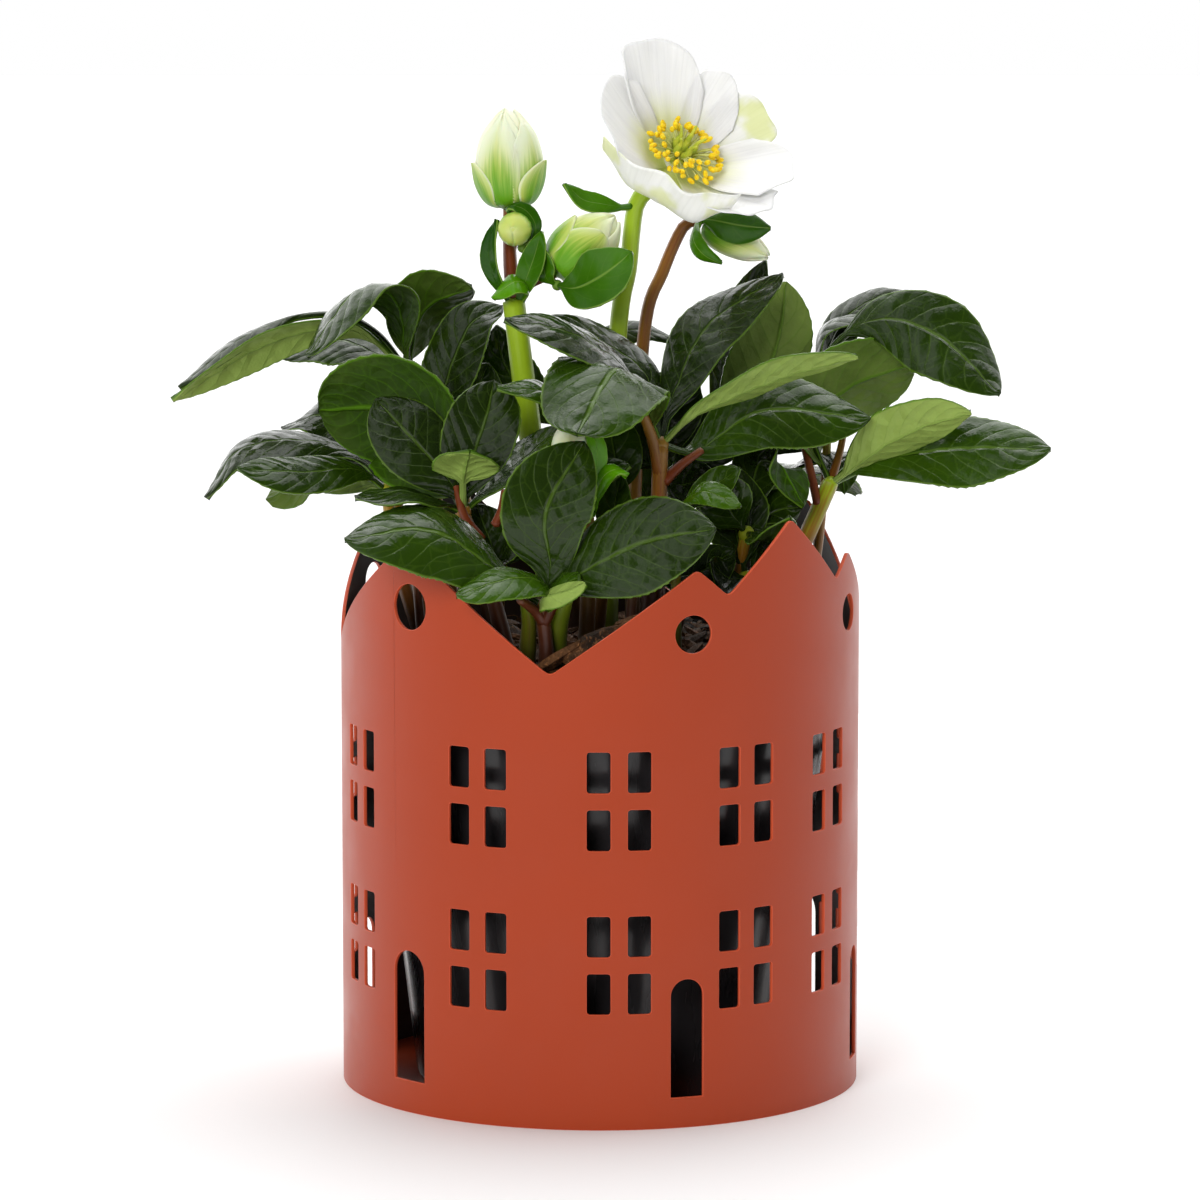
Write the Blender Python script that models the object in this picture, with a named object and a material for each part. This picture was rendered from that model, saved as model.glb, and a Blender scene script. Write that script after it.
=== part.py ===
"""A flowering Christmas rose in its black nursery pot, standing in a house-front sleeve.

The sleeve is a rolled metal sheet cut into a row of gabled house fronts with windows and
doors. The plant has divided leaves on fleshy stalks, one open white flower and four buds.
Sizes are in millimetres and are turned to metres where a mesh is made. The origin is on the
sleeve's axis at its underside, with +Z up, and the front of the sleeve faces -Y.
"""
import math
import random

import bpy
import bmesh
import numpy as np

MM = 0.001
CLEARANCE = 0.3

# Sleeve: a sheet rolled round the pot. Angles go round from -Y towards +X, in degrees.
SLEEVE_RADIUS = 70.0
SHEET = 1.0
COLUMN_STEP = 11.0
GABLE_ROUNDING = 1.0
GABLE_LINE = (
    (-86.0, 120.5), (-46.0, 152.8), (-10.8, 120.0), (21.3, 147.2), (28.6, 139.8),
    (45.6, 158.6), (63.5, 140.2), (70.7, 146.8), (96.5, 123.5), (124.6, 153.6),
    (159.0, 120.5), (191.5, 147.2), (199.0, 139.8), (216.0, 158.6), (234.0, 140.2),
    (245.0, 147.0),
)
WINDOW_ANGLES = (-65.9, -27.4, 4.1, 33.4, 60.4, 91.5, 111.0, 143.5, 174.7, 204.0, 231.0, 262.0)
WINDOW_ROWS = (87.1, 43.8)
PANE_WIDTH = 6.2
PANE_HEIGHT = 10.8
PANE_HALF_PITCH = 4.4
PANE_HALF_RISE = 7.6
DOORS = (
    (-46.3, 11.6, 8.6, 37.8), (19.0, 8.9, 8.1, 35.1), (78.0, 8.9, 7.8, 34.0),
    (124.6, 11.6, 8.6, 37.8), (189.6, 8.9, 8.1, 35.1), (248.6, 8.9, 7.8, 34.0),
)
ROUND_HOLES = (
    (-45.6, 135.3, 12.2), (20.3, 130.4, 10.0), (71.3, 130.3, 10.0),
    (124.6, 136.4, 12.2), (190.9, 130.4, 10.0), (244.5, 132.0, 10.0),
)
CUTTER_DEPTH = 8.0
BASE_THICKNESS = 1.0

# Nursery pot and what fills it
POT_RIM_RADIUS = 66.0
POT_TOP_RADIUS = 63.5
POT_FOOT_RADIUS = 50.0
POT_WALL = 0.9
POT_HEIGHT = 117.0
POT_RIM_DEPTH = 9.0
DRAIN_HOLE = 9.0
SOIL_EDGE_DEPTH = 2.0
SOIL_DOME = 4.0
BARK_PIECES = 16
FOOT_DEPTH = 7.0
HOLE_SIDES = 6
HOLE_REACH = 15.0

# Leaves: stalk and blade thickness
BLADE = 0.7
STALK_WIDTH = 1.9
KNOB_RADIUS = 2.3
LEAFLET_STEP_LENGTH = 10.5
LEAFLET_LEAST_STEPS = 4
LEAFLET_MOST_STEPS = 8

# One entry for each divided leaf: where its stalk leaves the soil, the points that the stalk
# passes, the hub, the stalk's diameters at foot and hub, and the leaflets. A leaflet has the
# points that its midrib passes after the hub, its width, the way that its upper face looks at
# the middle, and how far its edges rise (a positive share of the half width) or fall.
LEAVES = {
    "leaf_upper_left": (
        (-40, 2), ((-55, 3, 156),), (-52, 5, 192), (4.4, 3.4),
        (
            (((-67, 5, 206), (-91, 2, 201), (-115, -2, 185)), 20, (-0.3, 0.45, 0.85), -0.15),
            (((-54, 6, 208), (-67, 1, 214), (-78, -13, 195)), 22, (-0.25, -0.3, 0.9), -0.25),
            (((-50, 8, 204), (-45, 11, 212), (-33, 13, 217)), 24, (-0.35, 0.75, 0.5), 0.25),
            (((-70, 17, 199), (-88, 21, 195)), 18, (-0.1, -0.55, 0.83), -0.1),
        ),
    ),
    "leaf_front_left": (
        (-22, -42), ((-29, -41, 140),), (-36, -38, 159), (4.6, 3.4),
        (
            (((-40, -40, 168), (-49, -38, 179), (-60, -31, 190)), 22, (0.1, -0.9, 0.4), -0.1),
            (((-42, -29, 173), (-53, -22, 187), (-75, -16, 186)), 28, (-0.3, 0.5, 0.75), -0.15),
            (((-34, -39, 172), (-30, -37, 184), (-29, -32, 193)), 20, (-0.1, -0.95, 0.25), 0.1),
            (((-35, -44, 167), (-33, -43, 177)), 17, (0.0, -0.8, 0.6), 0.15),
            (((-50, -45, 165), (-64, -49, 164)), 20, (0.0, -0.12, 0.99), -0.1),
            (((-25, -31, 168), (-17, -23, 174), (-10, -17, 180)), 17, (-0.3, -0.35, 0.85), 0.1),
        ),
    ),
    "leaf_low_left": (
        (-44, -13), ((-54, -14, 142),), (-57, -14, 162), (4.2, 3.2),
        (
            (((-67, -12, 173), (-85, -14, 176), (-104, -20, 160)), 20, (-0.2, -0.35, 0.9), -0.2),
            (((-68, -1, 177), (-87, 8, 177)), 22, (-0.2, -0.45, 0.87), -0.1),
            (((-64, -22, 168), (-77, -29, 169), (-98, -33, 169)), 20, (0.0, -0.7, 0.7), -0.15),
            (((-73, -2, 167), (-86, 3, 156)), 19, (0.3, -0.8, 0.5), -0.1),
        ),
    ),
    "leaf_front": (
        (-14, -54), ((-14, -55, 124),), (-15, -55, 136), (4.8, 3.8),
        (
            (((-26, -58, 145), (-44, -62, 157), (-66, -66, 155)), 26, (0.0, -0.6, 0.8), -0.3),
            (((-13, -56, 147), (-14, -58, 162), (-4, -51, 179)), 24, (0.0, -1.0, 0.1), 0.1),
            (((-7, -59, 144), (11, -63, 154), (30, -66, 158)), 26, (0.1, -0.85, 0.5), -0.15),
            (((-25, -67, 144), (-37, -76, 142)), 18, (0.05, -0.42, 0.9), -0.1),
            (((-10, -66, 143), (-4, -74, 145)), 12, (0.0, -0.3, 0.95), 0.1),
        ),
    ),
    "leaf_centre": (
        (12, -26), ((15, -29, 150),), (16, -30, 176), (5.0, 4.2),
        (
            (((12, -33, 188), (4, -44, 198), (-5, -60, 186)), 30, (-0.15, 0.2, 0.95), -0.1),
            (((26, -32, 185), (48, -29, 194), (68, -25, 199)), 21, (-0.35, 0.5, 0.8), 0.15),
            (((26, -25, 174), (44, -20, 184), (72, -14, 181)), 23, (-0.2, -0.85, 0.5), -0.15),
            (((20, -21, 189), (29, -13, 206), (49, -6, 219)), 21, (-0.5, -0.7, 0.5), -0.1),
            (((7, -28, 195), (-8, -36, 206), (-25, -42, 210)), 19, (-0.2, -0.5, 0.85), -0.15),
            (((12, -18, 193), (-2, -17, 203), (-20, -21, 208)), 17, (0.2, -0.5, 0.85), -0.1),
        ),
    ),
    "leaf_inner": (
        (-2, -18), ((1, -22, 140),), (3, -24, 160), (3.8, 3.0),
        (
            (((4, -26, 171), (2, -23, 183)), 15, (0.0, -0.95, 0.3), 0.1),
            (((0, -31, 167), (8, -35, 171)), 9, (-0.2, -0.7, 0.7), 0.2),
            (((-5, -29, 178), (-14, -36, 190), (-27, -41, 192)), 14, (0.0, -0.4, 0.9), -0.1),
        ),
    ),
    "leaf_mid_left": (
        (-36, -4), ((-42, -5, 145),), (-45, -6, 170), (4.0, 3.0),
        (
            (((-43, -9, 187), (-35, -5, 206), (-26, -2, 210)), 21, (-0.4, -0.85, 0.3), 0.1),
            (((-36, 2, 182), (-30, 8, 194)), 18, (0.3, -0.8, 0.5), 0.1),
            (((-47, 18, 177), (-56, 34, 181)), 18, (-0.2, -0.3, 0.9), -0.1),
        ),
    ),
    "leaf_right": (
        (38, -8), ((46, -7, 128), (55, -5, 147)), (62, 0, 162), (6.2, 4.6),
        (
            (
                ((56, 6, 180), (62, 9, 197), (75, 6, 206), (91, 0, 202), (107, -8, 187)),
                24, (0.2, -0.75, 0.6), -0.15,
            ),
            (((66, 3, 175), (72, 6, 190), (87, 12, 197)), 27, (-0.3, 0.85, 0.4), 0.1),
            (((74, -7, 172), (86, -12, 179), (99, -14, 183)), 16, (-0.3, 0.8, 0.5), 0.2),
            (((77, -3, 169), (98, -3, 172), (121, -6, 172)), 24, (0.0, -0.7, 0.7), -0.1),
            (((65, 15, 169), (67, 23, 157)), 11, (0.1, 0.7, 0.7), -0.1),
        ),
    ),
    "leaf_low_right": (
        (30, -16), ((36, -18, 136),), (39, -20, 151), (4.2, 3.2),
        (
            (((34, -25, 159), (30, -27, 168)), 15, (0.0, -0.95, 0.3), 0.1),
            (((45, -34, 152), (50, -42, 158)), 13, (0.2, -0.6, 0.8), -0.1),
            (((42, -12, 168), (48, -13, 168), (54, -20, 158)), 15, (0.4, -0.6, 0.6), -0.15),
            (((47, -12, 156), (54, -11, 157)), 14, (0.1, -0.85, 0.5), -0.1),
        ),
    ),
    "leaf_small_centre": (
        (20, -36), ((20, -35, 140),), (20, -33, 158), (3.2, 2.6),
        (
            (((27, -39, 165), (36, -43, 161)), 12, (0.1, -0.8, 0.6), -0.1),
            (((29, -30, 164), (37, -32, 170)), 9, (0.1, -0.8, 0.6), 0.1),
        ),
    ),
    "leaf_back_centre": (
        (18, 8), ((25, 9, 142),), (30, 10, 166), (4.4, 3.2),
        (
            (((42, 5, 186), (48, 6, 202), (51, 9, 218)), 23, (-0.2, 0.9, 0.3), 0.1),
            (((36, 16, 192), (40, 20, 208), (45, 20, 221)), 14, (-0.3, -0.8, 0.5), 0.1),
            (((48, 16, 178), (66, 26, 180)), 22, (0.1, 0.4, 0.9), -0.15),
            (((34, 26, 176), (44, 46, 176)), 20, (0.0, 0.3, 0.95), -0.15),
        ),
    ),
    "leaf_back_upper": (
        (-6, 12), ((-8, 14, 148),), (-8, 16, 174), (4.2, 3.2),
        (
            (((-19, 12, 184), (-26, 12, 194), (-28, 13, 204)), 15, (-0.3, -0.9, 0.2), 0.1),
            (((-2, 18, 190), (8, 19, 197), (22, 21, 196)), 13, (0.1, -0.1, 0.99), -0.1),
            (((-14, 30, 184), (-22, 50, 180)), 21, (-0.1, 0.3, 0.95), -0.15),
            (((4, 32, 184), (12, 54, 180)), 21, (0.1, 0.3, 0.95), -0.15),
        ),
    ),
    "leaf_back_left": (
        (-28, 26), ((-34, 30, 140),), (-38, 34, 158), (4.2, 3.2),
        (
            (((-54, 34, 168), (-76, 36, 164)), 22, (-0.15, 0.1, 0.98), -0.15),
            (((-50, 46, 166), (-68, 62, 154)), 23, (-0.2, 0.2, 0.95), -0.15),
            (((-38, 54, 167), (-42, 78, 154)), 22, (0.0, 0.25, 0.95), -0.15),
            (((-28, 48, 168), (-16, 70, 162)), 20, (0.1, 0.2, 0.97), -0.15),
        ),
    ),
    "leaf_back": (
        (2, 34), ((4, 40, 138),), (5, 46, 152), (4.2, 3.2),
        (
            (((-6, 62, 158), (-18, 82, 146)), 20, (-0.15, 0.3, 0.93), -0.15),
            (((5, 68, 160), (6, 94, 146)), 23, (0.0, 0.3, 0.95), -0.15),
            (((18, 62, 158), (32, 80, 146)), 20, (0.15, 0.3, 0.93), -0.15),
        ),
    ),
    "leaf_back_right": (
        (30, 22), ((38, 26, 138),), (44, 32, 154), (4.2, 3.2),
        (
            (((58, 30, 166), (80, 32, 166)), 22, (0.1, 0.1, 0.98), -0.15),
            (((56, 46, 162), (72, 64, 152)), 23, (0.2, 0.2, 0.95), -0.15),
            (((46, 52, 162), (52, 78, 150)), 21, (0.0, 0.25, 0.95), -0.15),
        ),
    ),
}

# Flower and bud stems: the points from the soil to the top, and the diameters along them
STEMS = {
    "flower_stem": (
        ((2, -3), (2, -3, 150), (5, 0, 204), (8, 3, 224), (12.5, 3.9, 237.5), (17.2, 1.1, 244.4)),
        (6.4, 4.8),
    ),
    "arched_stem": (
        ((9, 6), (9, 5, 150), (12, 4, 203), (17, 6, 219), (22.5, 7, 231), (26.5, 5, 232.5)), (4.2, 3.2),
    ),
    "cluster_stem": (((-12, -12), (-15, -11, 150), (-19, -10, 180), (-23, -7, 212)), (6.8, 6.0)),
    "young_shoot_left": (((-20, -49), (-20, -49, 123), (-20.5, -51, 131), (-22, -54, 138)), (5.0, 1.6)),
    "young_shoot_right": (((-7.5, -49), (-7.5, -49, 123), (-7, -51, 131), (-6, -54, 138)), (5.6, 1.6)),
    "hidden_bud_stem": (((-4, -32), (-3, -35, 145), (-4, -38, 162), (-7, -40, 168)), (4.6, 3.6)),
}

# Stalks of the bud cluster, which fork from the top of its stem, and their diameters
CLUSTER_STALKS = (
    (((-23, -6.4, 212.9), (-24, -4, 222), (-24.5, 0.5, 237.5)), (4.2, 3.0)),
    (((-24, -4, 222), (-23.3, -2.6, 227), (-22.4, -2.9, 230.4)), (2.6, 2.2)),
    (((-22.6, -6, 214.6), (-17, -6.2, 217.5), (-11.6, -5.2, 219.4)), (3.0, 2.4)),
)

# Bracts: for each group the knob that they spring from, or none where they spring from the
# stem that the group is named for, and then points, width, the way that a face looks and cup.
BRACTS = {
    "flower_stem": (
        None,
        (
            (((10.5, 3.4, 235), (4, 0, 237.5), (-3, -3, 238.5), (-9, -5, 243)), 7.0, (0.1, -0.6, 0.8), 0.2),
        ),
    ),
    "cluster_stem": (
        None,
        (
            (((-24.5, -8, 210), (-28.8, -9, 220), (-29.8, -8, 233)), 4.6, (-0.8, -0.5, 0.1), 0.2),
            (((-21, -9, 210), (-18, -9.5, 220), (-16.6, -9.5, 229)), 6.0, (-0.5, -0.9, 0.0), 0.2),
            (((-22, -9, 209), (-23, -12, 214.5), (-29, -12, 213)), 7.5, (0.0, -0.8, 0.6), -0.15),
        ),
    ),
    "small_bud_bract": (
        (-20.4, -4.6, 225.6),
        (
            (((-16.4, -4.8, 228.2), (-15.8, -5.2, 233.5), (-19, -5.8, 238.8), (-25, -6.2, 239)), 4.6,
             (0.3, -0.95, 0.1), 0.1),
        ),
    ),
    "tilted_bud_bracts": (
        (-11.4, -7.6, 216.4),
        (
            (((-6, -14, 216.2), (1, -17.5, 220), (8.6, -17, 226)), 16.0, (-0.3, -0.85, 0.35), 0.15),
            (((-12.6, -11, 220.5), (-12.8, -11.5, 227.5)), 4.5, (-0.5, -0.8, 0.1), 0.2),
        ),
    ),
    "nodding_bud_bracts": (
        (26.3, 4.4, 235.9),
        (
            (((34, 1, 238.8), (46, -3, 234)), 15.0, (0.1, -0.5, 0.85), -0.3),
            (((25.5, -3.5, 229), (31, -8.5, 220.5)), 9.0, (-0.5, -0.8, -0.3), -0.3),
        ),
    ),
}
BRACT_KNOB = 1.5

# Open flower: its base, the way that it faces and its sepals. A sepal has its place round the
# flower in degrees, its reach from the axis and its height at the rim, the width, and how far
# it bulges below a straight line from base to rim.
FLOWER_BASE = (19.0, 0.0, 247.0)
FLOWER_AXIS = (0.385, -0.648, 0.655)
SEPALS = (
    (118, 29, 17, 28, 3.0), (62, 27, 17, 25, 3.0), (36, 28, 11, 24, 2.0),
    (-15, 29, 17, 28, 3.0), (-95, 20, 12, 28, 7.0), (175, 27, 15, 27, 3.0),
    (-140, 22, 7, 24, 2.0),
)
SEPAL_THICKNESS = 0.8
SEPAL_ROOT = 1.4
SEPAL_ROOT_HEIGHT = 1.6
RECEPTACLE_RADIUS = 3.0
RECEPTACLE_HEIGHT = 3.1
STAMENS = 16
CARPELS = 5

# Buds: half width as a share of the diameter at a share of the length, the twist of the
# sepals, and for each bud its base, tip, diameter and number of sepals
BUD_PROFILE = (
    (0.10, 0.0), (0.33, 0.07), (0.47, 0.26), (0.48, 0.5), (0.39, 0.74), (0.2, 0.92), (0.05, 1.0),
)
BUD_TWIST = 0.5
BUDS = (
    ("tall_bud", (-24.5, 0.8, 237.9), (-24, 2, 263), 19.0, 5),
    ("tilted_bud", (-11, -5, 220), (4.5, -3, 232.5), 14.0, 4),
    ("small_bud", (-22.4, -4.4, 231.2), (-23.5, -14, 232.5), 9.6, 3),
    ("nodding_bud", (27.8, 4.3, 231.8), (45, -3, 222.5), 10.0, 3),
    ("hidden_bud", (-7, -41.5, 169.5), (-7, -42.5, 184), 12.0, 3),
)


def clear_scene():
    """Removes every object of the open scene."""
    for old in list(bpy.data.objects):
        bpy.data.objects.remove(old, do_unlink=True)


def make_material(name, colour, roughness, metallic=0.0):
    """A plain finish in the part's colour."""
    material = bpy.data.materials.new(name)
    material.use_nodes = True
    shader = material.node_tree.nodes["Principled BSDF"]
    shader.inputs["Base Color"].default_value = (*colour, 1.0)
    shader.inputs["Roughness"].default_value = roughness
    shader.inputs["Metallic"].default_value = metallic
    material.diffuse_color = (*colour, 1.0)
    return material


def mesh_object(name, points, faces, material=None):
    """A mesh object from points in millimetres, with its faces turned outwards."""
    mesh = bpy.data.meshes.new(name)
    mesh.from_pydata([tuple(c * MM for c in p) for p in points], [], [tuple(f) for f in faces])
    body = bmesh.new()
    body.from_mesh(mesh)
    if body.calc_volume(signed=True) < 0.0:
        bmesh.ops.reverse_faces(body, faces=body.faces)
    body.to_mesh(mesh)
    body.free()
    made = bpy.data.objects.new(name, mesh)
    bpy.context.scene.collection.objects.link(made)
    if material:
        mesh.materials.append(material)
    return made


def unit(vector):
    """The vector at length one."""
    vector = np.asarray(vector, float)
    return vector / np.linalg.norm(vector)


def smooth_route(points, count):
    """A smooth curve through the points, read at count places evenly along its length."""
    points = np.asarray(points, float)
    ends = np.vstack([2 * points[0] - points[1], points, 2 * points[-1] - points[-2]])
    fine = []
    for i in range(1, len(ends) - 2):
        a, b, c, d = ends[i - 1:i + 3]
        for t in np.linspace(0.0, 1.0, 16, endpoint=False):
            fine.append(
                0.5 * (2 * b + (c - a) * t + (2 * a - 5 * b + 4 * c - d) * t * t
                       + (3 * b - a - 3 * c + d) * t ** 3)
            )
    fine.append(points[-1])
    fine = np.array(fine)
    along = np.concatenate([[0.0], np.cumsum(np.linalg.norm(np.diff(fine, axis=0), axis=1))])
    wanted = np.linspace(0.0, along[-1], count)
    return np.stack([np.interp(wanted, along, fine[:, k]) for k in range(3)], axis=1)


def tangents_of(route):
    """The unit direction of a route at each of its points."""
    steps = np.gradient(route, axis=0)
    return steps / np.linalg.norm(steps, axis=1)[:, None]


def tube_object(name, route, start_diameter, end_diameter, sides, material=None):
    """A tapered round stem along a route, with flat ends."""
    tangents = tangents_of(route)
    across = unit(np.cross(tangents[0], (0.35, 1.0, 0.12)))
    points = []
    for i, (place, tangent) in enumerate(zip(route, tangents)):
        across = unit(across - tangent * np.dot(across, tangent))
        other = np.cross(tangent, across)
        share = i / (len(route) - 1)
        radius = 0.5 * (start_diameter + (end_diameter - start_diameter) * share)
        for k in range(sides):
            turn = 2 * math.pi * k / sides
            points.append(place + radius * (math.cos(turn) * across + math.sin(turn) * other))
    faces = []
    for i in range(len(route) - 1):
        for k in range(sides):
            a = i * sides + k
            b = i * sides + (k + 1) % sides
            faces.append((a, b, b + sides))
            faces.append((a, b + sides, a + sides))
    last = (len(route) - 1) * sides
    for k in range(1, sides - 1):
        faces.append((0, k + 1, k))
        faces.append((last, last + k, last + k + 1))
    return mesh_object(name, points, faces, material)


def slab_object(name, grid, thickness):
    """A closed sheet of even thickness about a grid of points, split alike on both faces."""
    rows, columns = grid.shape[:2]
    down = np.gradient(grid, axis=0)
    over = np.gradient(grid, axis=1)
    normals = np.cross(down, over)
    normals /= np.linalg.norm(normals, axis=2)[:, :, None]
    half = 0.5 * thickness
    points = np.concatenate([(grid + normals * half).reshape(-1, 3),
                             (grid - normals * half).reshape(-1, 3)])
    under = rows * columns
    faces = []
    for i in range(rows - 1):
        for j in range(columns - 1):
            a = i * columns + j
            b, c, d = a + 1, a + columns + 1, a + columns
            if j < (columns - 1) / 2:
                halves = ((a, b, c), (a, c, d))
            else:
                halves = ((a, b, d), (b, c, d))
            for one, two, three in halves:
                faces.append((one, two, three))
                faces.append((under + one, under + three, under + two))
    rim = list(range(columns))
    rim += [i * columns + columns - 1 for i in range(1, rows)]
    rim += [(rows - 1) * columns + j for j in range(columns - 2, -1, -1)]
    rim += [i * columns for i in range(rows - 2, 0, -1)]
    for k, a in enumerate(rim):
        b = rim[(k + 1) % len(rim)]
        faces.append((b, a, under + a))
        faces.append((b, under + a, under + b))
    return mesh_object(name, points, faces)


def blade_half_width(share, width, stalk, tip=0.45):
    """Half the width of a leaflet at a share of its length: a stalk, then an oval blade."""
    narrow = 0.5 * STALK_WIDTH
    if share <= stalk:
        return narrow
    q = (share - stalk) / (1.0 - stalk)
    peak = 0.58
    rise = 0.75
    fall = rise * (1.0 - peak) / peak
    shape = (q / peak) ** rise * (max(1.0 - q, 0.0) / (1.0 - peak)) ** fall
    return max(tip + (narrow - tip) * (1.0 - q), 0.5 * width * shape)


def leaflet_grid(hub, bends, width, facing, cup, steps, stalk=0.1, columns=3):
    """The middle surface of one leaflet, with small teeth along its outer half."""
    route = smooth_route([hub, *bends], steps + 1)
    tangents = tangents_of(route)
    middle = tangents[len(tangents) // 2]
    facing = np.asarray(facing, float)
    facing = unit(facing - middle * np.dot(facing, middle))
    side_at_middle = np.cross(middle, facing)
    grid = np.zeros((steps + 1, columns, 3))
    for i, (place, tangent) in enumerate(zip(route, tangents)):
        side = unit(side_at_middle - tangent * np.dot(side_at_middle, tangent))
        normal = np.cross(side, tangent)
        half = blade_half_width(i / steps, width, stalk)
        toothed = i / steps > 0.45 and i % 2 == 0 and i < steps
        for j, across in enumerate(np.linspace(-1.0, 1.0, columns)):
            reach = across * half * (0.92 if toothed and abs(across) == 1.0 else 1.0)
            lift = cup * half * abs(across) ** 1.5
            grid[i, j] = place + side * reach + normal * lift
    return grid


def ball_object(name, centre, radius, subdivisions=1):
    """A small round knob."""
    body = bmesh.new()
    bmesh.ops.create_icosphere(body, subdivisions=subdivisions, radius=radius)
    points = [np.array(v.co) + np.asarray(centre, float) for v in body.verts]
    faces = [[v.index for v in f.verts] for f in body.faces]
    body.free()
    return mesh_object(name, points, faces)


def unite(name, pieces, material):
    """One body from overlapping pieces, joined by a Boolean union that is applied."""
    base = pieces[0]
    base.name = name
    if len(pieces) > 1:
        gathered = bpy.data.collections.new(name + "_pieces")
        bpy.context.scene.collection.children.link(gathered)
        for piece in pieces[1:]:
            bpy.context.scene.collection.objects.unlink(piece)
            gathered.objects.link(piece)
        union = base.modifiers.new("Union", "BOOLEAN")
        union.operation = "UNION"
        union.operand_type = "COLLECTION"
        union.collection = gathered
        union.solver = "MANIFOLD"
        apply_modifiers(base)
        for piece in pieces[1:]:
            bpy.data.objects.remove(piece, do_unlink=True)
        bpy.data.collections.remove(gathered)
    keep_largest_body(base)
    base.data.materials.clear()
    base.data.materials.append(material)
    return base


def apply_modifiers(target):
    """Puts the evaluated shape of an object in its own mesh."""
    bpy.context.view_layer.update()
    graph = bpy.context.evaluated_depsgraph_get()
    shape = bpy.data.meshes.new_from_object(target.evaluated_get(graph))
    target.modifiers.clear()
    target.data = shape


def keep_largest_body(target):
    """Drops loose scraps and the walls of sealed hollows, and keeps the outer skin."""
    body = bmesh.new()
    body.from_mesh(target.data)
    bmesh.ops.triangulate(body, faces=body.faces)
    unseen = set(body.faces)
    islands = []
    while unseen:
        island = [unseen.pop()]
        for face in island:
            for edge in face.edges:
                for near in edge.link_faces:
                    if near in unseen:
                        unseen.remove(near)
                        island.append(near)
        islands.append(island)
    islands.sort(key=lambda island: sum(face.calc_area() for face in island))
    loose = [face for island in islands[:-1] for face in island]
    if loose:
        bmesh.ops.delete(body, geom=loose, context="FACES")
    body.to_mesh(target.data)
    body.free()


def cut_with(target, cutter):
    """Takes a cutter's shape out of an object, and keeps the cutter as a hidden guide."""
    cutter.hide_render = True
    cutter.hide_set(True)
    cutter.display_type = "WIRE"
    cut = target.modifiers.new(cutter.name, "BOOLEAN")
    cut.operation = "DIFFERENCE"
    cut.object = cutter
    cut.solver = "EXACT"


def round_object(name, profile, segments, material):
    """A closed turned solid from (radius, height) points that run round its section."""
    points = []
    first = []
    for radius, height in profile:
        first.append(len(points))
        if radius == 0.0:
            points.append((0.0, 0.0, height))
            continue
        for k in range(segments):
            turn = 2 * math.pi * k / segments
            points.append((radius * math.cos(turn), radius * math.sin(turn), height))
    faces = []
    for i, start in enumerate(first):
        after = first[(i + 1) % len(profile)]
        low_pole = profile[i][0] == 0.0
        high_pole = profile[(i + 1) % len(profile)][0] == 0.0
        for k in range(segments):
            m = (k + 1) % segments
            if low_pole and high_pole:
                continue
            if low_pole:
                faces.append((start, after + m, after + k))
            elif high_pole:
                faces.append((start + k, start + m, after))
            else:
                faces.append((start + k, start + m, after + m, after + k))
    made = mesh_object(name, points, faces, material)
    made.data.shade_smooth()
    made.data.set_sharp_from_angle(angle=math.radians(35))
    return made


def sleeve_place(angle, radius, height):
    """A point at an angle round the sleeve, measured from its front."""
    turn = math.radians(angle)
    return (radius * math.sin(turn), -radius * math.cos(turn), height)


def gable_height(angle):
    """The height of the sleeve's upper edge at an angle."""
    first = GABLE_LINE[0]
    line = [*GABLE_LINE, (first[0] + 360.0, first[1])]
    return float(np.interp(angle, [p[0] for p in line], [p[1] for p in line]))


def sleeve_columns():
    """The angles of the sheet's columns, with two at every blunted peak and valley."""
    first = GABLE_LINE[0][0]
    corners = [p[0] for p in GABLE_LINE]
    columns = {}
    for corner in corners:
        for offset in (-GABLE_ROUNDING, GABLE_ROUNDING):
            angle = (corner + offset - first) % 360.0 + first
            columns[round(angle, 3)] = gable_height(angle)
    near = COLUMN_STEP * 0.4
    for k in range(int(360 / COLUMN_STEP)):
        angle = first + COLUMN_STEP * (k + 0.5)
        gaps = [abs((angle - a + 180.0) % 360.0 - 180.0) for a in columns]
        if min(gaps) > near:
            columns[angle] = gable_height(angle)
    return sorted(columns.items())


def make_house_sleeve(material):
    """The rolled sheet with its gables, and the cutters for windows, doors and round holes."""
    columns = sleeve_columns()
    inner = SLEEVE_RADIUS - SHEET
    points = []
    for angle, height in columns:
        points.append(sleeve_place(angle, SLEEVE_RADIUS, 0.0))
        points.append(sleeve_place(angle, SLEEVE_RADIUS, height))
        points.append(sleeve_place(angle, inner, height))
        points.append(sleeve_place(angle, inner, 0.0))
    faces = []
    for k in range(len(columns)):
        a = 4 * k
        b = 4 * ((k + 1) % len(columns))
        for i in range(4):
            j = (i + 1) % 4
            faces.append((a + i, b + i, b + j, a + j))
    sleeve = mesh_object("house_sleeve", points, faces, material)
    cut_with(sleeve, window_cutter())
    cut_with(sleeve, door_cutter())
    cut_with(sleeve, hole_cutter())
    return sleeve


def wall_prism(angle, outline):
    """Points and faces of a prism through the sleeve wall, from an outline of (across, up)."""
    turn = math.radians(angle)
    outwards = np.array([math.sin(turn), -math.cos(turn), 0.0])
    across = np.array([math.cos(turn), math.sin(turn), 0.0])
    up = np.array([0.0, 0.0, 1.0])
    points = []
    for depth in (SLEEVE_RADIUS - 0.5 * CUTTER_DEPTH, SLEEVE_RADIUS + 0.5 * CUTTER_DEPTH):
        for x, z in outline:
            points.append(outwards * depth + across * x + up * z)
    count = len(outline)
    faces = [list(range(count)), list(range(2 * count - 1, count - 1, -1))]
    for k in range(count):
        m = (k + 1) % count
        faces.append([k, k + count, m + count, m])
    return points, faces


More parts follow.
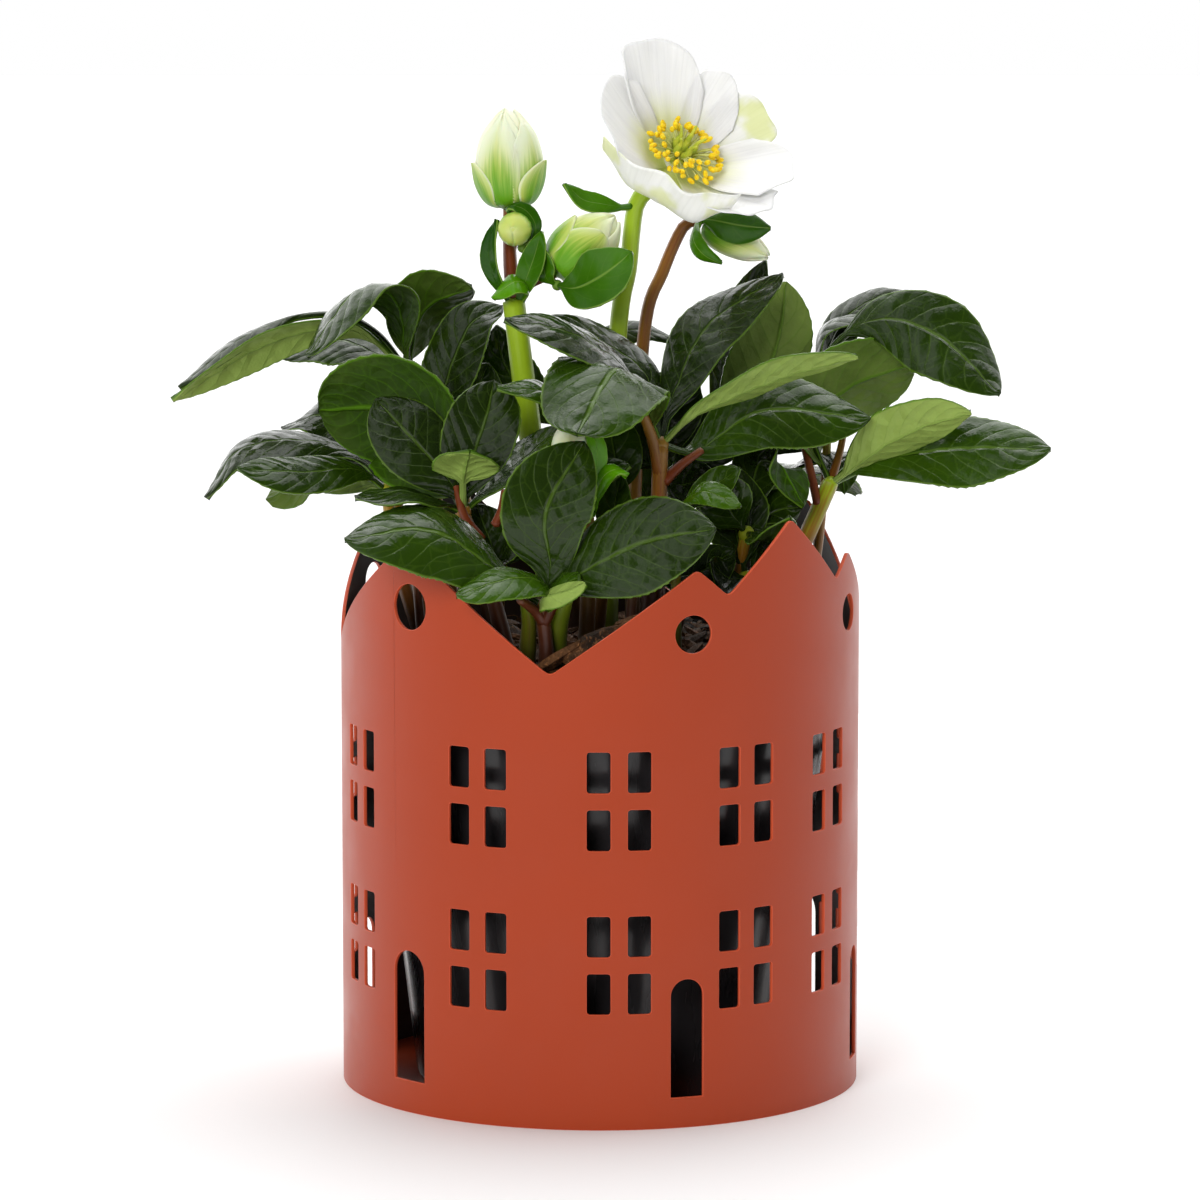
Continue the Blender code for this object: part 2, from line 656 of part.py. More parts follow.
def prisms_object(name, prisms):
    """One cutter from prisms that stand apart."""
    points = []
    faces = []
    for part_points, part_faces in prisms:
        start = len(points)
        points += part_points
        faces += [[start + i for i in face] for face in part_faces]
    return mesh_object(name, points, faces)


def window_cutter():
    """Two storeys of windows, each of two by two panes."""
    half_pitch = math.degrees(PANE_HALF_PITCH * 1.22 / SLEEVE_RADIUS)
    prisms = []
    for middle in WINDOW_ANGLES:
        for row in WINDOW_ROWS:
            for side in (-1, 1):
                for level in (-1, 1):
                    z = row + level * PANE_HALF_RISE
                    x = 0.5 * PANE_WIDTH
                    h = 0.5 * PANE_HEIGHT
                    outline = ((-x, z - h), (x, z - h), (x, z + h), (-x, z + h))
                    prisms.append(wall_prism(middle + side * half_pitch, outline))
    return prisms_object("window_cutter", prisms)


def door_cutter():
    """Doors with a flat sill and a round head."""
    prisms = []
    for angle, width, sill, spring in DOORS:
        half = 0.5 * width
        outline = [(-half, sill), (half, sill)]
        for k in range(7):
            turn = math.pi * k / 6
            outline.append((half * math.cos(turn), spring + half * math.sin(turn)))
        prisms.append(wall_prism(angle, outline))
    return prisms_object("door_cutter", prisms)


def hole_cutter():
    """The round hole in each lower gable."""
    prisms = []
    for angle, height, diameter in ROUND_HOLES:
        turns = [2 * math.pi * k / 12 for k in range(12)]
        outline = [(0.5 * diameter * math.cos(t), height + 0.5 * diameter * math.sin(t)) for t in turns]
        prisms.append(wall_prism(angle, outline))
    return prisms_object("hole_cutter", prisms)


def make_sleeve_base(material):
    """The flat disc that closes the sleeve below and carries the pot."""
    radius = SLEEVE_RADIUS - SHEET - 2.0 * CLEARANCE
    profile = ((0.0, 0.0), (radius, 0.0), (radius, BASE_THICKNESS), (0.0, BASE_THICKNESS))
    return round_object("sleeve_base", profile, 36, material)


def pot_radius(height):
    """The outer radius of the pot's tapered wall."""
    share = (height - pot_floor()) / (POT_HEIGHT - pot_floor())
    return POT_FOOT_RADIUS + (POT_TOP_RADIUS - POT_FOOT_RADIUS) * share


def pot_floor():
    """The height of the pot's underside."""
    return BASE_THICKNESS + CLEARANCE


def make_nursery_pot(material):
    """A thin tapered pot with a turned-down rim and holes in its floor."""
    low = pot_floor()
    inside = low + 1.2 * POT_WALL
    rim_low = POT_HEIGHT - POT_RIM_DEPTH
    profile = (
        (0.0, low), (POT_FOOT_RADIUS - 1.5, low), (POT_FOOT_RADIUS, low + 1.5),
        (pot_radius(rim_low), rim_low), (POT_RIM_RADIUS, rim_low + 1.5),
        (POT_RIM_RADIUS, POT_HEIGHT), (POT_TOP_RADIUS - POT_WALL, POT_HEIGHT),
        (pot_radius(inside) - POT_WALL, inside), (0.0, inside),
    )
    pot = round_object("nursery_pot", profile, 30, material)
    drains = []
    places = [(0.0, 0.0)]
    for k in range(4):
        turn = math.pi * (0.25 + 0.5 * k)
        places.append((0.6 * POT_FOOT_RADIUS * math.cos(turn), 0.6 * POT_FOOT_RADIUS * math.sin(turn)))
    for x, y in places:
        turns = [2 * math.pi * k / 8 for k in range(8)]
        ring = [(x + 0.5 * DRAIN_HOLE * math.cos(t), y + 0.5 * DRAIN_HOLE * math.sin(t)) for t in turns]
        points = [(a, b, low - 2.0) for a, b in ring] + [(a, b, inside + 2.0) for a, b in ring]
        faces = [list(range(7, -1, -1)), list(range(8, 16))]
        faces += [[k, (k + 1) % 8, (k + 1) % 8 + 8, k + 8] for k in range(8)]
        drains.append((points, faces))
    cut_with(pot, prisms_object("drain_cutter", drains))
    return pot


def soil_height(x, y):
    """The height of the soil's domed surface."""
    reach = POT_TOP_RADIUS - POT_WALL
    share = min(math.hypot(x, y) / reach, 1.0)
    return POT_HEIGHT - SOIL_EDGE_DEPTH + SOIL_DOME * (1.0 - share ** 3)


def stem_routes():
    """The route and diameters of every stalk and stem, from below the soil's surface."""
    routes = {}
    for name, (foot, bends, hub, diameters, leaflets) in LEAVES.items():
        x, y = foot
        bottom = (x, y, soil_height(x, y) - FOOT_DEPTH)
        last = np.asarray(bends[-1], float)
        end = np.asarray(hub, float) - unit(np.asarray(hub, float) - last) * (KNOB_RADIUS + CLEARANCE)
        routes[name + "_stalk"] = (smooth_route([bottom, *bends, end], 5), *diameters)
    for name, (places, diameters) in STEMS.items():
        (x, y), *bends = places
        bottom = (x, y, soil_height(x, y) - FOOT_DEPTH)
        routes[name] = (smooth_route([bottom, *bends], 8), *diameters)
    return routes


def bark_piece(rng, x, y):
    """One chip of bark, lying at a slant on the soil."""
    length = rng.uniform(7.0, 15.0)
    width = rng.uniform(4.0, 7.0)
    height = rng.uniform(2.5, 4.5)
    turn = rng.uniform(0.0, math.pi)
    slant = rng.uniform(-0.4, 0.4)
    corners = []
    for sz in (-1, 1):
        for sx, sy in ((-1, -1), (1, -1), (1, 1), (-1, 1)):
            px = 0.5 * sx * length * rng.uniform(0.75, 1.0)
            py = 0.5 * sy * width * rng.uniform(0.75, 1.0)
            pz = 0.5 * sz * height + px * slant
            corners.append((
                x + px * math.cos(turn) - py * math.sin(turn),
                y + px * math.sin(turn) + py * math.cos(turn),
                soil_height(x, y) + 0.6 + pz,
            ))
    faces = [(0, 3, 2, 1), (4, 5, 6, 7)]
    faces += [(k, (k + 1) % 4, (k + 1) % 4 + 4, k + 4) for k in range(4)]
    return mesh_object("bark", corners, faces)


def make_soil(routes, material):
    """The filled pot's soil with bark chips on top, and a plain hole round every stem."""
    inside = pot_floor() + 1.2 * POT_WALL + CLEARANCE
    low_radius = pot_radius(inside) - POT_WALL - CLEARANCE
    reach = POT_TOP_RADIUS - POT_WALL - 2.0 * CLEARANCE
    profile = [(0.0, inside), (low_radius, inside)]
    for share in (1.0, 0.75, 0.4):
        profile.append((reach * share, soil_height(reach * share, 0.0)))
    profile.append((0.0, soil_height(0.0, 0.0)))
    soil = round_object("bark_soil", profile, 20, material)
    rng = random.Random(7)
    pieces = [soil]
    for k in range(BARK_PIECES):
        turn = 2.4 * k
        away = (reach - 9.0) * math.sqrt((k + 0.5) / BARK_PIECES)
        pieces.append(bark_piece(rng, away * math.cos(turn), away * math.sin(turn)))
    soil = unite("bark_soil", pieces, material)
    holes = []
    for route, start, end in routes.values():
        along = np.cumsum(np.linalg.norm(np.diff(route, axis=0), axis=1))
        count = int(np.searchsorted(along, HOLE_REACH)) + 2
        near = smooth_route(route[:count], 4)
        near[0] -= 0.5 * CLEARANCE * unit(near[1] - near[0])
        wide = (start + 2.0 * CLEARANCE) / math.cos(math.pi / HOLE_SIDES)
        holes.append(tube_object("hole", near, wide, wide, HOLE_SIDES))
    for hole in holes:
        cut_with(soil, hole)
    apply_modifiers(soil)
    for hole in holes:
        bpy.data.objects.remove(hole, do_unlink=True)
    keep_largest_body(soil)
    return soil


def make_leaves(routes, green, red):
    """Each divided leaf as a body of blades and a body for its stalk."""
    for name, (foot, bends, hub, diameters, leaflets) in LEAVES.items():
        pieces = [ball_object(name + "_knob", hub, KNOB_RADIUS)]
        for points, width, facing, cup in leaflets:
            stalk = 0.35 if len(points) > 3 else 0.12
            length = np.linalg.norm(np.diff(np.array([hub, *points], float), axis=0), axis=1).sum()
            steps = int(min(max(length / LEAFLET_STEP_LENGTH, LEAFLET_LEAST_STEPS), LEAFLET_MOST_STEPS))
            grid = leaflet_grid(hub, points, width, facing, cup, steps, stalk)
            pieces.append(slab_object(name + "_leaflet", grid, BLADE))
        unite(name + "_blades", pieces, green)
        route, start, end = routes[name + "_stalk"]
        tube_object(name + "_stalk", route, start, end, 6, red)


def axis_frame(axis):
    """Two directions across an axis: one to the right, one upwards."""
    axis = unit(axis)
    right = unit(np.array([1.0, 0.0, 0.0]) - axis * axis[0])
    return axis, right, np.cross(axis, right)


def sepal_grid(base, axis, angle, reach, height, width, bulge, rows=4, columns=5):
    """The middle surface of one sepal of a bowl that opens along an axis."""
    axis, right, upward = axis_frame(axis)
    base = np.asarray(base, float)
    grid = np.zeros((rows + 1, columns, 3))
    for i in range(rows + 1):
        share = i / rows
        away = SEPAL_ROOT + (reach - SEPAL_ROOT) * share + 0.7 * bulge * math.sin(math.pi * share)
        rise = SEPAL_ROOT_HEIGHT + height * share ** 1.6 - bulge * 0.5 * math.sin(math.pi * share)
        wide = 0.5 * width * math.sin(math.pi * (0.12 + 0.76 * share)) ** 0.7
        if i == 0:
            wide = 0.9
        for j, across in enumerate(np.linspace(-1.0, 1.0, columns)):
            turn = math.radians(angle) + min(wide / away, 0.95) * across
            drop = 0.16 * reach * across ** 2 * max(share - 0.6, 0.0)
            outward = right * math.cos(turn) + upward * math.sin(turn)
            grid[i, j] = base + axis * (max(rise, SEPAL_ROOT_HEIGHT) - drop) + outward * away
    return grid


def make_flower(white, yellow, lime):
    """The open flower: a bowl of sepals, a ring of stamens and the carpels in its heart."""
    axis, right, upward = axis_frame(FLOWER_AXIS)
    base = np.asarray(FLOWER_BASE)
    top = base + axis * RECEPTACLE_HEIGHT
    pieces = [ball_object("receptacle", base, RECEPTACLE_RADIUS, 2)]
    pieces.append(tube_object("receptacle_top", np.array([base, top]), 5.6, 6.2, 10))
    for angle, reach, height, width, bulge in SEPALS:
        grid = sepal_grid(base, axis, angle, reach, height, width, bulge)
        pieces.append(slab_object("sepal", grid, SEPAL_THICKNESS))
    unite("flower_sepals", pieces, white)

    low = top + axis * CLEARANCE
    disc = np.array([low, low + axis * 1.0, low + axis * 2.0])
    pieces = [tube_object("stamen_disc", disc, 6.0, 4.6, 12)]
    for k in range(STAMENS):
        turn = 2.4 * k
        spread = 0.55 + 0.45 * ((k * 7) % 10) / 9.0
        outward = right * math.cos(turn) + upward * math.sin(turn)
        start = low + axis * 1.0 + outward * 1.4
        end = low + axis * (10.5 - 3.5 * spread) + outward * (4.5 + 6.0 * spread)
        pieces.append(club_object(start, end))
    unite("flower_stamens", pieces, yellow)

    low = low + axis * (2.0 + CLEARANCE)
    pieces = [tube_object("carpel_disc", np.array([low, low + axis * 1.0]), 4.4, 4.0, 8)]
    for k in range(CARPELS):
        turn = 2 * math.pi * k / CARPELS
        outward = right * math.cos(turn) + upward * math.sin(turn)
        start = low + axis * 0.5 + outward * 1.0
        end = low + axis * 8.0 + outward * 2.6
        pieces.append(tube_object("carpel", np.array([start, 0.5 * (start + end), end]), 2.2, 0.9, 4))
    unite("flower_carpels", pieces, lime)


def club_object(start, end):
    """One stamen: a thin filament with a fat anther at its end."""
    way = unit(end - start)
    across = unit(np.cross(way, (0.3, 0.2, 1.0)))
    other = np.cross(way, across)
    length = float(np.linalg.norm(end - start))
    points = []
    for along, radius in ((0.0, 0.4), (length - 1.6, 0.35), (length, 1.1), (length + 1.1, 0.5)):
        for k in range(4):
            turn = 0.5 * math.pi * k
            points.append(start + way * along + radius * (math.cos(turn) * across + math.sin(turn) * other))
    faces = [(3, 2, 1, 0), (12, 13, 14, 15)]
    for i in range(3):
        for k in range(4):
            a = 4 * i + k
            b = 4 * i + (k + 1) % 4
            faces.append((a, b, b + 4, a + 4))
    return mesh_object("stamen", points, faces)


def bud_object(name, base, tip, diameter, sepals, material):
    """A closed bud: sepals that overlap like shingles round an egg, drawn as one skin."""
    base = np.asarray(base, float)
    tip = np.asarray(tip, float)
    axis, right, upward = axis_frame(tip - base)
    length = float(np.linalg.norm(tip - base))
    sides = 4 * sepals
    points = []
    for wide, share in BUD_PROFILE:
        for k in range(sides):
            step = k % 4
            turn = 2 * math.pi * (k - 0.6 * (step == 3)) / sides + BUD_TWIST * share
            fold = (1.03, 1.06, 1.04, 0.94)[step] if 0.05 < share < 0.97 else 1.0
            outward = right * math.cos(turn) + upward * math.sin(turn)
            points.append(base + axis * length * share + outward * diameter * wide * fold)
    faces = []
    for i in range(len(BUD_PROFILE) - 1):
        for k in range(sides):
            a = i * sides + k
            b = i * sides + (k + 1) % sides
            faces.append((a, b, b + sides))
            faces.append((a, b + sides, a + sides))
    last = (len(BUD_PROFILE) - 1) * sides
    faces.append(list(range(sides - 1, -1, -1)))
    faces.append(list(range(last, last + sides)))
    return mesh_object(name, points, faces, material)


def bract_pieces(name):
    """The bracts of one group, and the knob that they spring from."""
    knob, bracts = BRACTS[name]
    pieces = []
    if knob:
        pieces.append(ball_object(name + "_knob", knob, BRACT_KNOB))
    for points, width, facing, cup in bracts:
        start = knob if knob else points[0]
        bends = points if knob else points[1:]
        grid = leaflet_grid(start, bends, width, facing, cup, 5, 0.05)
        pieces.append(slab_object(name + "_bract", grid, 0.8))
    return pieces


def make_stems(routes, red, lime, green):
    """The stems of flower, buds and young shoots, with the bracts that grow on them."""
    for name in STEMS:
        finish = red if name in ("arched_stem", "hidden_bud_stem") else lime
        route, start, end = routes[name]
        stem = tube_object(name, route, start, end, 8, finish)
        if name in BRACTS:
            unite(name, [stem, *bract_pieces(name)], finish)
    forks = []
    for points, (start, end) in CLUSTER_STALKS:
        forks.append(tube_object("cluster_stalk", smooth_route(points, 5), start, end, 6))
    unite("cluster_stalks", forks, red)
    for name in BRACTS:
        if name not in STEMS:
            unite(name, bract_pieces(name), green)


def main():
    clear_scene()
    orange = make_material("orange_powder_coat", (0.39, 0.05, 0.02), 0.45, 0.0)
    black = make_material("black_plastic", (0.012, 0.012, 0.013), 0.25)
    brown = make_material("bark_brown", (0.035, 0.018, 0.01), 0.9)
    green = make_material("leaf_green", (0.03, 0.09, 0.015), 0.4)
    red = make_material("stalk_red", (0.10, 0.03, 0.015), 0.45)
    lime = make_material("stem_lime", (0.22, 0.33, 0.04), 0.45)
    white = make_material("sepal_white", (0.85, 0.85, 0.80), 0.5)
    yellow = make_material("stamen_yellow", (0.80, 0.55, 0.02), 0.6)
    cream = make_material("bud_cream", (0.60, 0.66, 0.28), 0.5)

    make_house_sleeve(orange)
    make_sleeve_base(orange)
    make_nursery_pot(black)
    routes = stem_routes()
    make_soil(routes, brown)
    make_leaves(routes, green, red)
    make_stems(routes, red, lime, green)
    make_flower(white, yellow, lime)

    for name, base, tip, diameter, sepals in BUDS:
        bud_object(name, base, tip, diameter, sepals, cream)


if __name__ == "__main__":
    main()
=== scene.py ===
"""Dresses the Christmas rose in its house-front sleeve: leaves, flower, buds, pot and sleeve.

Sizes in the tables are in millimetres. The origin is on the sleeve's axis at its underside,
+Z is up and the front looks along -Y.
"""

import math
import random

import bpy
import numpy as np
from bpy.props import FloatProperty, FloatVectorProperty, IntProperty, PointerProperty
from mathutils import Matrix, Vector


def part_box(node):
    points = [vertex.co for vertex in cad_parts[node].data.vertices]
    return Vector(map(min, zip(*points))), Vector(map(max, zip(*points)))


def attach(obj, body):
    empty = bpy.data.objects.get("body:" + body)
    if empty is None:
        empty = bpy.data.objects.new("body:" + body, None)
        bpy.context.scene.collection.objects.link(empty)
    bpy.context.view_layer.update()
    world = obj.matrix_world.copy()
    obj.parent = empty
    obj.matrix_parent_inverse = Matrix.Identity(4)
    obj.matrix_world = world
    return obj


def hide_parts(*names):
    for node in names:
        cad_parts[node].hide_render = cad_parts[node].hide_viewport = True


bl_info = {
    "name": "Potted Christmas Rose",
    "version": (1, 0, 0),
    "blender": (4, 5, 0),
    "location": "View3D > Sidebar > Plant",
    "description": "Builds a flowering Christmas rose in a sleeve cut as a row of houses",
    "category": "Object",
}

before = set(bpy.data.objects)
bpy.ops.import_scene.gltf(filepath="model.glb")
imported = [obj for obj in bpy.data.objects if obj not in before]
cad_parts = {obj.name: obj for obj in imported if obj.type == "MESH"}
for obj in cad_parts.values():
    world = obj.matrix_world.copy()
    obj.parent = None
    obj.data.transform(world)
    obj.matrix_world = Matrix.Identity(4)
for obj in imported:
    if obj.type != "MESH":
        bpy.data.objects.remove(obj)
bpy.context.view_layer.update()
MM = 0.001
# Turn from one chip or stamen to the next, in radians
GOLDEN_TURN = 2.39996

# Sleeve: corners of the gable line as (angle, height); angles go round from -Y towards +X.
GABLE_LINE = (
    (-86.0, 120.5), (-46.0, 152.8), (-10.8, 120.0), (21.3, 147.2), (28.6, 139.8),
    (45.6, 158.6), (63.5, 140.2), (70.7, 146.8), (96.5, 123.5), (124.6, 153.6),
    (159.0, 120.5), (191.5, 147.2), (199.0, 139.8), (216.0, 158.6), (234.0, 140.2),
    (245.5, 147.0),
)
# Windows: angles of their middles, and rows by height; each window has four panes
WINDOW_ANGLES = (-65.9, -27.4, 4.1, 33.4, 60.4, 91.5, 111.0, 143.5, 174.7, 204.0, 231.0, 262.0)
WINDOW_ROWS = (87.1, 43.8)
PANE_WIDTH = 6.2
PANE_HEIGHT = 10.8
PANE_HALF_PITCH = 5.37
PANE_HALF_RISE = 7.6
# Doors as (angle, width, height of the sill, height where the round head springs)
DOORS = (
    (-46.3, 11.6, 8.6, 37.8), (19.0, 8.9, 8.1, 35.1), (78.0, 8.9, 7.8, 34.0),
    (124.6, 11.6, 8.6, 37.8), (189.6, 8.9, 8.1, 35.1), (248.6, 8.9, 7.8, 34.0),
)
# Round holes as (angle, height, diameter)
ROUND_HOLES = (
    (-45.6, 135.3, 12.2), (20.3, 130.4, 10.0), (71.3, 130.3, 10.0),
    (124.6, 136.4, 12.2), (190.9, 130.4, 10.0), (244.5, 132.0, 10.0),
)
# Columns of the rolled sheet, in degrees: even steps, and closer ones on both sides of a corner
COLUMN_STEP = 1.5
FIRST_COLUMN = 0.31
CORNER_COLUMNS = (-1.2, -0.6, 0.6, 1.2)
CLEAR_OF_CORNER = 1.7
CLEAR_OF_CUT = 0.35
PEAK_BLUNTING = 1.0
CUTTER_REACH = 4.0
# Height in metres of the sheet before its gables are set, and the number of the cut edge's material
ROUGH_HEIGHT = 0.1
CUT_EDGE = 2

# Nursery pot and soil
POT_RIM_RADIUS = 66.0
POT_TOP_RADIUS = 63.5
POT_FOOT_RADIUS = 50.0
POT_WALL = 0.9
POT_FLOOR = 1.3
POT_HEIGHT = 117.0
POT_RIM_DEPTH = 9.0
POT_INSIDE = POT_FLOOR + 1.2 * POT_WALL
DRAIN_HOLE = 9.0
DRAIN_AWAY = 0.6 * POT_FOOT_RADIUS
SOIL_EDGE_DEPTH = 2.0
SOIL_DOME = 4.0
SOIL_REACH = POT_TOP_RADIUS - POT_WALL - 0.6
BED_GAP = 0.3
BED_RINGS = 26
BED_SIDES = 96
CHIPS = 420
FIBRES = 90
# Bark chips heaped at the front: place, size, tone, turn in degrees, slant
HIGH_CHIPS = (
    (-9, -58, 117.5, 11, 0.3, 0, 0.0), (1, -58, 118.5, 12, 0.2, 15, 0.2), (10, -55, 120, 12, 0.3, -10, 0.2),
    (-20, -55, 118, 10, 0.2, -30, -0.3), (-12.5, -59.5, 121.5, 12, 0.9, 8, 0.6),
    (-6, -57, 122.5, 10, 0.5, -20, 0.2),
    (-2, -57, 126, 13, 0.8, 30, 0.4), (4, -56, 129, 13, 0.5, 10, 0.5), (9, -53, 132, 12, 0.8, -35, 0.3),
    (-25, -51, 122, 9, 0.4, 40, 0.2), (4, -55, 123, 13, 0.2, 60, 0.1), (12, -54, 126, 13, 0.3, 20, 0.3),
)
# How far below the soil's face a stalk starts
FOOT_DEPTH = 6.0

# Leaflets: places across a blade, teeth as shares of its width, and the stalk's share of the length
BLADE_COLUMNS = (
    -1.0, -0.97, -0.84, -0.66, -0.46, -0.26, -0.1, 0.0, 0.1, 0.26, 0.46, 0.66, 0.84, 0.97, 1.0,
)
TOOTH = (-0.012, 0.0, 0.016)
LONG_STALK = 0.46
SHORT_STALK = 0.1
BRACT_STALK = 0.05
BRACT_RELIEF = 0.2
BRACT_KNOB = 1.5
KNOB_RADIUS = 2.3
PETIOLE_HALF = 0.95

